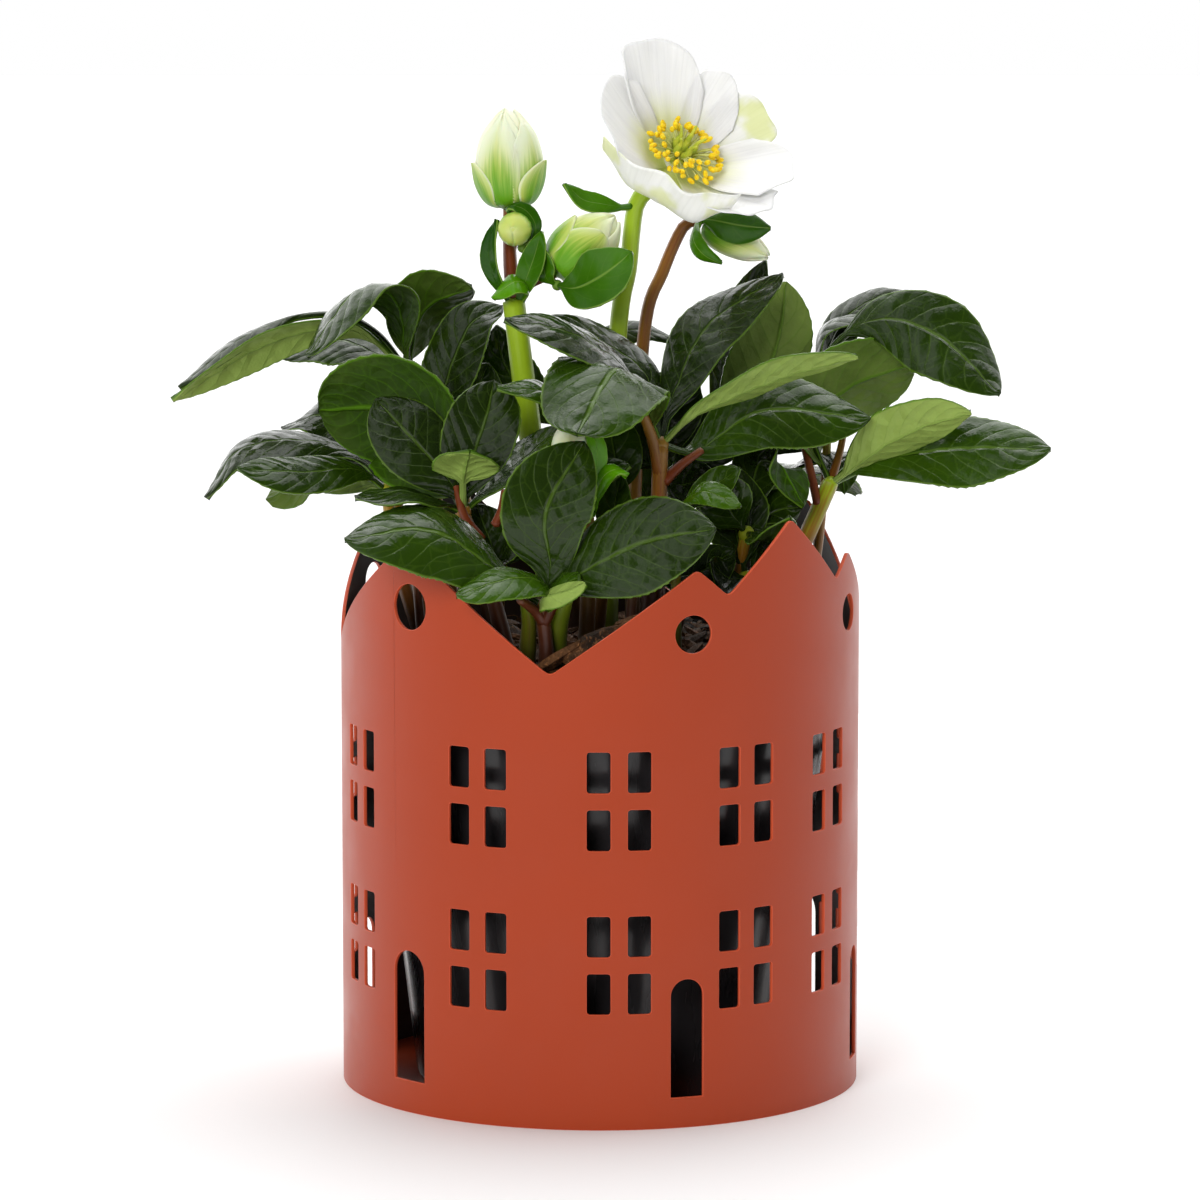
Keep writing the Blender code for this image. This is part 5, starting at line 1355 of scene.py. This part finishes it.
def add_bed(skin, rng):
    """The filling of the pot, with a crumbly upper face."""
    foot = POT_INSIDE + BED_GAP
    foot_radius = pot_radius(foot) - POT_WALL - BED_GAP
    points = [(0.0, 0.0, foot)]
    points += [(*level_place(foot_radius, turn), foot) for turn in turns_round(BED_SIDES)]
    for i in range(BED_RINGS):
        for turn in turns_round(BED_SIDES):
            x, y = level_place(SOIL_REACH * (1.0 - i / BED_RINGS), turn)
            crumb = 0.0 if i == 0 else rng.uniform(-0.7, 0.5)
            points.append((x, y, soil_height(x, y) + crumb))
    points.append((0.0, 0.0, soil_height(0.0, 0.0)))
    top = len(points) - 1
    faces = fan_faces(1, BED_SIDES, 0, False) + ring_faces(1, BED_RINGS + 1, BED_SIDES)
    faces += fan_faces(top - BED_SIDES, BED_SIDES, top, True)
    skin.add(points, faces, 0.5, 0.5, 0.2)


def add_chip(skin, rng, x, y, size, tone, z=None, turn=None, slant=None):
    """One broken chip of bark, lying at a slant on the soil or at the height given."""
    length = size * rng.uniform(0.8, 1.4)
    width = length * rng.uniform(0.3, 0.6)
    height = length * rng.uniform(0.14, 0.3)
    turn = rng.uniform(0.0, math.pi) if turn is None else math.radians(turn)
    slant = rng.uniform(-0.45, 0.45) if slant is None else slant
    z = soil_height(x, y) if z is None else z
    roll = rng.uniform(-0.5, 0.5)
    rings, corners = 5, 6
    shape = [rng.uniform(0.8, 1.2) for _ in range(corners)]
    points = []
    for i in range(rings):
        share = i / (rings - 1) * 2 - 1
        taper = (1.0 - 0.45 * abs(share) ** 3) * rng.uniform(0.85, 1.1)
        for t, bulge in zip(turns_round(corners, 0.5), shape):
            a = 0.5 * length * share + rng.uniform(-0.04, 0.04) * length
            b = 0.5 * width * math.cos(t) * taper * bulge
            c = 0.5 * height * math.sin(t) * taper * bulge * 1.3
            b, c = b * math.cos(roll) - c * math.sin(roll), b * math.sin(roll) + c * math.cos(roll)
            c += a * slant
            points.append((x + a * math.cos(turn) - b * math.sin(turn),
                           y + a * math.sin(turn) + b * math.cos(turn),
                           z + 0.25 * height + c))
    last = (rings - 1) * corners
    faces = [tuple(range(corners - 1, -1, -1)), tuple(range(last, last + corners))]
    skin.add(points, faces + ring_faces(0, rings, corners), 0.5, 0.5, tone)


def add_fibre(skin, rng):
    """One loose fibre that lies on the chips."""
    turn = rng.uniform(0, 2 * math.pi)
    x, y = level_place(SOIL_REACH * math.sqrt(rng.random()) * 0.9, turn)
    way = rng.uniform(0, 2 * math.pi)
    length = rng.uniform(4.0, 9.0)
    z = soil_height(x, y) + rng.uniform(1.0, 2.4)
    half_x, half_y = level_place(0.5 * length, way)
    end_x, end_y = level_place(length, way + 0.4)
    bend = (x + half_x, y + half_y, z + rng.uniform(0, 2))
    route = smooth_route([(x, y, z), bend, (x + end_x, y + end_y, z - 0.8)], 6)
    add_tube(skin, route, (0.35, 0.2), 4, (1.0, 1.0))


class PLANT_OT_soil(bpy.types.Operator):
    """Fills the pot and covers it with bark chips and loose fibres"""
    bl_idname = "plant.soil"
    bl_label = "Bark soil"

    def execute(self, context):
        rng = random.Random(7)
        bed = Skin()
        add_bed(bed, rng)
        crumb = bark_material("soil_crumb", (0.008, 0.004, 0.002), (0.030, 0.013, 0.006), 420.0)
        bed.finish("soil_bed", "bark", ["bark_soil"], crumb)
        chips = Skin()
        for k in range(CHIPS):
            x, y = level_place((SOIL_REACH - 5.5) * math.sqrt((k + 0.5) / CHIPS), GOLDEN_TURN * k)
            size = rng.uniform(3.5, 9.5)
            x += rng.uniform(-1.5, 1.5)
            y += rng.uniform(-1.5, 1.5)
            add_chip(chips, rng, x, y, size, rng.random() ** 2)
        for x, y, z, size, tone, turn, slant in HIGH_CHIPS:
            add_chip(chips, rng, x, y, size, tone, z, turn, slant)
        for _ in range(FIBRES):
            add_fibre(chips, rng)
        cork = bark_material("bark_cork", (0.012, 0.005, 0.002), (0.12, 0.052, 0.020), 900.0)
        chips.finish("bark_chips", "bark", ["bark_soil"], cork, smooth=False)
        return {"FINISHED"}


# Leaves

def blade_outline(q, blunt=0.0):
    """Half width of a leaflet's blade as a share of its greatest half width."""
    peak = 0.56 - 0.08 * blunt
    if q < peak:
        return math.sin(0.5 * math.pi * (q / peak)) ** (0.95 - 0.3 * blunt)
    t = (q - peak) / (1.0 - peak)
    return max(1.0 - t ** (1.9 + 1.1 * blunt), 0.0) ** (0.78 - 0.28 * blunt)


def fading(distance, width):
    """A rounded mark along a line: 1 on the line, and fading within a width on both sides."""
    return math.exp(-(distance / width) ** 2)


def add_leaflet(skin, look, hub, leaflet, stalk, seed=0, relief=1.0):
    """One leaflet: petiole, puckered blade, midrib groove and teeth on the outer half."""
    bends, width, facing, cup, tone, *blunt = leaflet
    points = [hub, *bends]
    length = np.linalg.norm(np.diff(np.array(points, float), axis=0), axis=1).sum()
    rows = int(min(max(length / (look.row_length / MM), 18), 66)) // 3 * 3
    route = smooth_route(points, rows + 1)
    tangents = tangents_of(route)
    middle = tangents[len(tangents) // 2]
    facing = np.asarray(facing, float)
    side_at_middle = np.cross(middle, unit(facing - middle * np.dot(facing, middle)))
    pairs = min(max(round(length / 5.5), 3), look.vein_pairs)
    pucker = relief * look.pucker / MM * min(width / 20.0, 1.0)
    slope = 0.62 * width / length
    shape = (rows + 1, len(BLADE_COLUMNS))
    grid = np.zeros((*shape, 3))
    thick = np.zeros(shape)
    phase = np.zeros(shape)
    for i in range(rows + 1):
        share = i / rows
        run = share * length
        q = max((share - stalk) / (1.0 - stalk), 0.0)
        side = unit(side_at_middle - tangents[i] * np.dot(side_at_middle, tangents[i]))
        normal = np.cross(side, tangents[i])
        blade = 0.5 * width * blade_outline(q, *blunt)
        half = max(blade, PETIOLE_HALF * (1.0 - 0.75 * q), 0.25)
        bladed = min(max((blade - PETIOLE_HALF) / 2.5, 0.0), 1.0)
        tooth = TOOTH[i % 3] if 0.38 < q < 0.99 else 0.0
        for j, a in enumerate(BLADE_COLUMNS):
            reach = abs(a)
            v = q - slope * reach ** 1.25
            swell = 0.55 * abs(math.sin(math.pi * pairs * v)) ** 0.8 * math.sin(math.pi * reach) ** 0.6
            swell *= 0.75 + 0.35 * math.sin(2.4 * math.floor(pairs * v + 20) + 3.0 * seed + (a > 0) * 2.0)
            puff = math.sin(0.8 * run + 2.1 * seed + 2.0 * a) * math.sin(0.75 * a * half + 0.3 * run + seed)
            wave = math.sin(2 * math.pi * 2.2 * share + 2.4 * seed + (a > 0) * 1.7) * 0.05 * half * reach ** 2
            groove = -0.275 * fading(reach * half, 0.8)
            raised = pucker * (swell + 0.45 * puff * (1.0 - reach ** 3))
            lift = cup * half * reach ** 1.5 + bladed * (raised + wave + groove)
            stretch = 1.0 + (tooth if reach > 0.98 else 0.0)
            grid[i, j] = route[i] + side * (a * half * stretch) + normal * lift
            round_stalk = 2.0 * PETIOLE_HALF * math.sqrt(max(1.0 - reach ** 2, 0.02))
            sheet = look.blade / MM * (1.0 if reach < 0.9 else 0.75)
            rib = 0.9 * (1.0 - q) * fading(reach * half, 0.7)
            thick[i, j] = (1.0 - bladed) * round_stalk + bladed * (sheet + rib)
            phase[i, j] = v * pairs
    across = np.tile(0.5 + 0.5 * np.array(BLADE_COLUMNS), (rows + 1, 1))
    add_sheet(skin, grid, thick, across, phase, tone)


def shared_looks(look):
    """The materials, by name, with those that leaves and stems share made once."""
    found = bpy.data.materials
    if "leaf_upper_face" not in found:
        leaf_material("leaf_upper_face", look.leaf_dark, look.leaf_light, look.vein, 0.34)
        leaf_material("leaf_lower_face", shaded(look.underside, 0.45), (0.25, 0.35, 0.075),
                      shaded(look.underside, 1.9), 0.12, under=True)
        leaf_material("bract_face", (0.006, 0.040, 0.001), (0.088, 0.28, 0.002), (0.24, 0.38, 0.06), 0.25,
                      relief=0.2)
        stem_material("stem_flesh", look.maroon, look.lime)
    return found


def soil_foot(x, y):
    """Where a stalk starts, down in the soil."""
    return (x, y, soil_height(x, y) - FOOT_DEPTH)


class PLANT_OT_leaves(bpy.types.Operator):
    """Shapes every divided leaf: its stalk and its puckered, toothed leaflets"""
    bl_idname = "plant.leaves"
    bl_label = "Leaves"

    def execute(self, context):
        look = context.scene.plant_look
        finishes = shared_looks(look)
        faces = finishes["leaf_lower_face"], finishes["leaf_upper_face"]
        for number, (name, leaf) in enumerate([*LEAVES.items(), *INNER_LEAVES.items()]):
            foot, bends, hub, (wide, narrow), tone, leaflets = leaf
            outer = name in LEAVES
            blades = Skin()
            for k, leaflet in enumerate(leaflets):
                stalk = LONG_STALK if len(leaflet[0]) > 4 else SHORT_STALK
                add_leaflet(blades, look, hub, leaflet, stalk, number + 0.37 * k)
            blades.finish(name + "_leaflets", "leaf", [name + "_blades"] if outer else [], *faces)

            petiole = Skin()
            route = smooth_route([soil_foot(*foot), *bends, hub], 28)
            add_tube(petiole, route, (wide * 1.15, wide, narrow, narrow), 14,
                     (tone - 0.15, tone - 0.05, tone, tone + 0.3), 0.04)
            add_ball(petiole, hub, (KNOB_RADIUS * 0.95, KNOB_RADIUS), np.subtract(hub, bends[-1]), 14, 8,
                     tone + 0.35)
            for points, widths, tones in FORKS.get(name, ()):
                add_tube(petiole, smooth_route(points, 12), widths, 12, tones, 0.03)
            petiole.finish(name + "_petiole", "stalk", [name + "_stalk"] if outer else [],
                           finishes["stem_flesh"])
        return {"FINISHED"}


def add_bracts(skin, look, knob, bracts):
    """Bracts that spring from a knob, or each from its own first point."""
    if knob:
        add_ball(skin, knob, (BRACT_KNOB, BRACT_KNOB), (0, 0, 1), 12, 8, 0.4)
    for k, (points, *rest) in enumerate(bracts):
        start, bends = (knob, points) if knob else (points[0], points[1:])
        add_leaflet(skin, look, start, (bends, *rest), BRACT_STALK, k, BRACT_RELIEF)


class PLANT_OT_stems(bpy.types.Operator):
    """Grows the flower stem, the bud stems, the young shoots and their bracts"""
    bl_idname = "plant.stems"
    bl_label = "Stems and bracts"

    def execute(self, context):
        look = context.scene.plant_look
        finishes = shared_looks(look)
        flesh, face = finishes["stem_flesh"], finishes["bract_face"]
        for name, ((foot, *bends), diameters, tones) in STEMS.items():
            stem = Skin()
            add_tube(stem, smooth_route([soil_foot(*foot), *bends], 48), diameters, 18, tones, 0.035)
            slot = "stalk" if name in ("arched_stem", "hidden_bud_stem") else "stem"
            stem.finish(name + "_flesh", slot, [name], flesh)
        stalks = Skin()
        for points, diameters in CLUSTER_STALKS:
            add_tube(stalks, smooth_route(points, 20), diameters, 14, (0.0, 0.05, 0.35), 0.03)
        stalks.finish("cluster_stalks_flesh", "stalk", ["cluster_stalks"], flesh)
        for name, (knob, bracts) in BRACTS.items():
            group = Skin()
            add_bracts(group, look, knob, bracts)
            group.finish(name + "_bract", "leaf", [name], face, face)
        sheath = Skin()
        add_bracts(sheath, look, None, SHEATH)
        sheath.finish("hidden_bud_sheath", "leaf", [], face, face)
        return {"FINISHED"}


# Buds

def bud_radius(share, diameter):
    route = smooth_route([(*place, 0.0) for place in BUD_PROFILE], 80)
    return diameter * float(np.interp(share, route[:, 1], route[:, 0]))


def add_bud(skin, base, tip, diameter, tone, sepals):
    """A closed bud: an egg inside, and sepals that overlap round it."""
    base = np.asarray(base, float)
    axis, right, upward = axis_frame(tip - base)
    length = float(np.linalg.norm(tip - base))
    rows, columns = 28, 17
    for middle, half, top, layer in sepals:
        whole = half == 180
        grid = np.zeros((rows + 1, columns, 3))
        along = np.zeros((rows + 1, columns))
        for i in range(rows + 1):
            q = i / rows
            share = 0.02 + (top * 0.99 - 0.02) * q
            radius = bud_radius(share, diameter) * (0.95 + 0.035 * layer)
            radius *= 1.0 + 0.03 * layer * q ** 5
            spread = half * math.sin(math.pi * (0.20 + 0.78 * q)) ** (0.6 if top < 0.9 else 0.4)
            spread = half if whole else spread
            for j, a in enumerate(np.linspace(-1.0, 1.0, columns)):
                turn = math.radians(middle + spread * a)
                keel = 1.0 + 0.018 * fading(a, 0.1) + 0.006 * math.cos(14.0 * a)
                tuck = 1.0 if whole else 1.0 - 0.03 * max(a - 0.7, 0.0) / 0.3
                dip = 0.02 * math.cos(9.0 * a + layer) * q ** 6 if top > 0.9 else 0.0
                outward = spoke(right, upward, turn)
                grid[i, j] = base + axis * length * (share + dip) + outward * radius * tuck * keel
                along[i, j] = share
        edge = 0.2 if whole else 0.5
        across = np.tile(np.linspace(0.5 - edge, 0.5 + edge, columns), (rows + 1, 1))
        add_sheet(skin, grid, 0.45, across, along, tone + 0.12 * layer)
    shares = np.linspace(0.02, 0.96, 24)
    core = np.array([base + axis * length * share for share in shares])
    add_tube(skin, core, [2 * 0.88 * bud_radius(share, diameter) for share in shares], 24, (tone, tone))


class PLANT_OT_buds(bpy.types.Operator):
    """Closes the buds from sepals that overlap"""
    bl_idname = "plant.buds"
    bl_label = "Buds"

    def execute(self, context):
        look = context.scene.plant_look
        skinned = bud_material("bud_sepal", look.cream, look.bud_green)
        for name, *bud in BUDS:
            skin = Skin()
            add_bud(skin, *bud)
            skin.finish(name + "_sepals", "bud", [name], skinned, skinned)
        return {"FINISHED"}


# Flower

def add_sepal(skin, number, rim, belly, inside, tone):
    """One sepal of the bowl: smooth from its root to its rim, wavy near the rim."""
    axis, right, upward = axis_frame(FLOWER_AXIS)
    base = np.asarray(FLOWER_BASE)
    rows, columns = 30, 33

    def place(turn, reach, lift):
        return base + axis * lift + spoke(right, upward, math.radians(turn)) * reach

    middle = rim[2][0]
    lines = []
    for k, (turn, reach, lift) in enumerate(rim):
        rise = lift - SEPAL_ROOT_HEIGHT
        points = [place(turn, SEPAL_ROOT, SEPAL_ROOT_HEIGHT)]
        if belly:
            wide, out, high = belly[k]
            low = SEPAL_ROOT_HEIGHT + 0.3 * (high - SEPAL_ROOT_HEIGHT)
            points += [place(wide, 0.5 * out, low), place(wide, out, high)]
        else:
            for share in (0.3, 0.65):
                spread = middle + (turn - middle) * (1.0 + 0.25 * math.sin(math.pi * share))
                points.append(place(spread, reach * share, SEPAL_ROOT_HEIGHT + rise * share ** 1.5))
        points.append(place(turn, reach, lift))
        lines.append(smooth_route(points, rows + 1))
    grid = np.stack([smooth_route([line[i] for line in lines], columns) for i in range(rows + 1)])
    share = np.linspace(0.0, 1.0, rows + 1)[:, None]
    a = np.linspace(-1.0, 1.0, columns)[None, :]
    wave = 0.5 * np.sin(4.0 * a + 2.1 * number) * share ** 3
    wave = wave + 0.28 * np.sin(11.0 * a + 1.3 * number) * share ** 6
    wave = wave - 0.35 * np.exp(-(a / 0.10) ** 2) * np.sin(math.pi * share)
    notch = 0.35 * np.sin(9.0 * a + number) * np.maximum(share - 0.8, 0.0) / 0.2
    inwards = inside * np.minimum(share * 3.0, 1.0)
    away = grid - base
    away = unit_each(away - (away @ axis)[:, :, None] * axis)
    grid = grid + grid_normals(grid) * wave[:, :, None]
    grid = grid + (0.5 * axis - 0.7 * away) * inwards[:, :, None] + away * notch[:, :, None]
    across = np.tile(np.linspace(0.0, 1.0, columns), (rows + 1, 1))
    add_sheet(skin, grid, 0.4, across, np.tile(share, (1, columns)), tone)


def add_stamen(skin, rng, low, axis, right, upward, turn):
    """A bent filament with its anther."""
    spread = 0.25 + 0.75 * rng.random() ** 0.7
    outward = spoke(right, upward, turn)
    start = low + axis * 1.0 + outward * (1.2 + 1.0 * rng.random())
    end = low + axis * (10.0 - 4.0 * spread + rng.uniform(-0.8, 0.8)) + outward * (3.0 + 7.0 * spread)
    end = end - upward * 1.8
    bend = 0.5 * (start + end) + axis * 0.8 - outward * 0.9
    add_tube(skin, smooth_route([start, bend, end], 6), (0.5, 0.35), 5, (0.2, 0.2))
    lean = unit([rng.uniform(-1, 1) for _ in range(3)])
    way = unit(unit(end - bend) + 0.7 * lean)
    add_ball(skin, end + way * 0.5, (0.72, 1.2), way, 8, 6, 1.0, 1)


def add_risers(skin, foot, axis, right, upward, turns, away, steps, count, widths, sides, tones):
    """Small tubes in a ring, each bent through steps of (up, out) from its start."""
    for turn in turns:
        outward = spoke(right, upward, turn)
        start = foot + outward * away
        points = [start, *(start + axis * up + outward * out for up, out in steps)]
        add_tube(skin, smooth_route(points, count), widths, sides, tones)


class PLANT_OT_flower(bpy.types.Operator):
    """Opens the flower: sepals, a ring of stamens, nectaries and carpels"""
    bl_idname = "plant.flower"
    bl_label = "Open flower"

    def execute(self, context):
        look = context.scene.plant_look
        rng = random.Random(11)
        axes = axis_frame(FLOWER_AXIS)
        axis = axes[0]
        base = np.asarray(FLOWER_BASE)
        top = base + axis * RECEPTACLE_HEIGHT
        bowl = Skin()
        add_ball(bowl, base, (RECEPTACLE_RADIUS, RECEPTACLE_RADIUS), axis, 20, 10, 0.9)
        add_tube(bowl, np.array([base, 0.5 * (base + top), top]), (5.6, 6.2), 20, (0.9, 0.9))
        for number, sepal in enumerate(SEPALS):
            add_sepal(bowl, number, *sepal)
        white = sepal_material("sepal_skin", look.petal, (0.60, 0.66, 0.14))
        bowl.finish("flower_petals", "sepal", ["flower_sepals"], white, white)

        ring = Skin()
        low = top + axis * 0.3
        add_ball(ring, low + axis * 0.9, (3.0, 1.1), axis, 16, 6, 0.0)
        for k in range(look.stamens):
            add_stamen(ring, rng, low, *axes, GOLDEN_TURN * k)
        filament = grain_material("filament", (0.70, 0.72, 0.30), (0.62, 0.66, 0.16), 900.0)
        anther = grain_material("anther", look.pollen, (0.88, 0.52, 0.0), 1500.0)
        ring.finish("flower_anthers", "stamen", ["flower_stamens"], filament, anther)

        heart = Skin()
        low = low + axis * 2.3
        add_ball(heart, low + axis * 0.4, (2.3, 1.0), axis, 14, 6, 0.5)
        add_risers(heart, low + axis * 0.3, *axes, turns_round(5), 1.0, ((3.0, 1.6), (6.0, 1.6), (8.4, 3.0)),
                   14, (2.0, 2.6, 1.6, 0.9, 0.6), 10, (0.4, 0.9))
        add_risers(heart, low - axis * 1.2, *axes, turns_round(10, 0.3), 2.2, ((1.2, 1.0), (3.0, 2.0)),
                   6, (0.9, 1.5, 1.9), 8, (0.7, 0.9))
        green = grain_material("flower_heart", (0.42, 0.52, 0.05), (0.60, 0.62, 0.06), 500.0, 0.45)
        heart.finish("flower_heart", "carpel", ["flower_carpels"], green)
        return {"FINISHED"}


# Stage

def studio_sky(look):
    """A sky that is bright behind the plant, is mirrored in its own strength, and is seen as white paper."""
    world = bpy.data.worlds.new("studio_sky")
    world.use_nodes = True
    made = Nodes(world.node_tree)
    split = made.node("ShaderNodeSeparateXYZ", Vector=made.node("ShaderNodeTexCoord").outputs["Generated"])
    sideways, back = split.outputs["X"], split.outputs["Y"]
    light = made.band(back, -0.7, 0.6, look.sky_front, look.sky)
    soft_box = made.band(made.size(made.plus(sideways, 0.42)), 0.04, 0.4, look.shine_box, look.shine_front)
    shine = made.band(back, -0.15, 0.75, soft_box, look.shine)
    seen = made.node("ShaderNodeLightPath")
    strength = made.node("ShaderNodeMix")
    for index, value in ((0, seen.outputs["Is Glossy Ray"]), (2, light), (3, shine)):
        made.put(strength.inputs[index], value)
    white = (1.0, 1.0, 1.0)
    sky = made.tree.nodes["Background"]
    made.put(sky.inputs["Color"], white)
    made.put(sky.inputs["Strength"], strength.outputs[0])
    paper = made.node("ShaderNodeBackground", Color=white)
    either = made.node("ShaderNodeMixShader")
    choice = (seen.outputs["Is Camera Ray"], sky.outputs[0], paper.outputs[0])
    for socket, value in zip(either.inputs, choice):
        made.put(socket, value)
    made.put(made.tree.nodes["World Output"].inputs["Surface"], either.outputs[0])
    return world


def add_lamp(name, place, strength, spread):
    """A soft distant light that shines from a place towards the plant."""
    deselect()
    bpy.ops.object.light_add(type="SUN", location=place)
    lamp = bpy.context.object
    lamp.name = name
    lamp.data.energy = strength
    lamp.data.angle = math.radians(spread)
    lamp.rotation_euler = (-Vector(place)).to_track_quat("-Z", "Y").to_euler()
    return lamp


class PLANT_OT_stage(bpy.types.Operator):
    """Sets the pale floor, the studio light and the camera at the photograph's angle"""
    bl_idname = "plant.stage"
    bl_label = "Stage"

    def execute(self, context):
        scene = context.scene
        look = scene.stage_look
        deselect()
        bpy.ops.mesh.primitive_plane_add(size=12.0, location=(0, 0, 0))
        floor = context.object
        floor.name = "studio_floor"
        floor.data.materials.append(floor_material())
        scene.world = studio_sky(look)
        add_lamp("light_above", (0.10, 0.35, 1.0), look.above, 60.0)
        front = add_lamp("light_front", (-0.38, -1.0, 0.46), look.front, 28.0)
        front.visible_glossy = False
        bpy.ops.object.camera_add(location=CAMERA_PLACE, rotation=(math.radians(90.0 - CAMERA_DIP), 0, 0))
        camera = context.object
        camera.name = "studio_camera"
        camera.data.lens = CAMERA_LENS
        camera.data.sensor_width = 36.0
        camera.data.clip_start = 0.05
        scene.camera = camera
        scene.view_settings.view_transform = "Standard"
        return {"FINISHED"}


OPERATORS = (
    PLANT_OT_sleeve, PLANT_OT_base, PLANT_OT_pot, PLANT_OT_soil, PLANT_OT_leaves, PLANT_OT_stems,
    PLANT_OT_buds, PLANT_OT_flower, PLANT_OT_stage,
)


class PLANT_PT_panel(bpy.types.Panel):
    bl_label = "Potted Christmas Rose"
    bl_idname = "PLANT_PT_panel"
    bl_space_type = "VIEW_3D"
    bl_region_type = "UI"
    bl_category = "Plant"

    def draw(self, context):
        for operator in OPERATORS:
            self.layout.operator(operator.bl_idname)


CLASSES = (SleeveLook, PlantLook, StageLook, *OPERATORS, PLANT_PT_panel)


def register():
    for one in CLASSES:
        bpy.utils.register_class(one)
    bpy.types.Scene.sleeve_look = PointerProperty(type=SleeveLook)
    bpy.types.Scene.plant_look = PointerProperty(type=PlantLook)
    bpy.types.Scene.stage_look = PointerProperty(type=StageLook)


def unregister():
    del bpy.types.Scene.stage_look
    del bpy.types.Scene.plant_look
    del bpy.types.Scene.sleeve_look
    for one in reversed(CLASSES):
        bpy.utils.unregister_class(one)


def main():
    register()
    for operator in OPERATORS:
        group, name = operator.bl_idname.split(".")
        getattr(getattr(bpy.ops, group), name)()


if __name__ == "__main__":
    main()
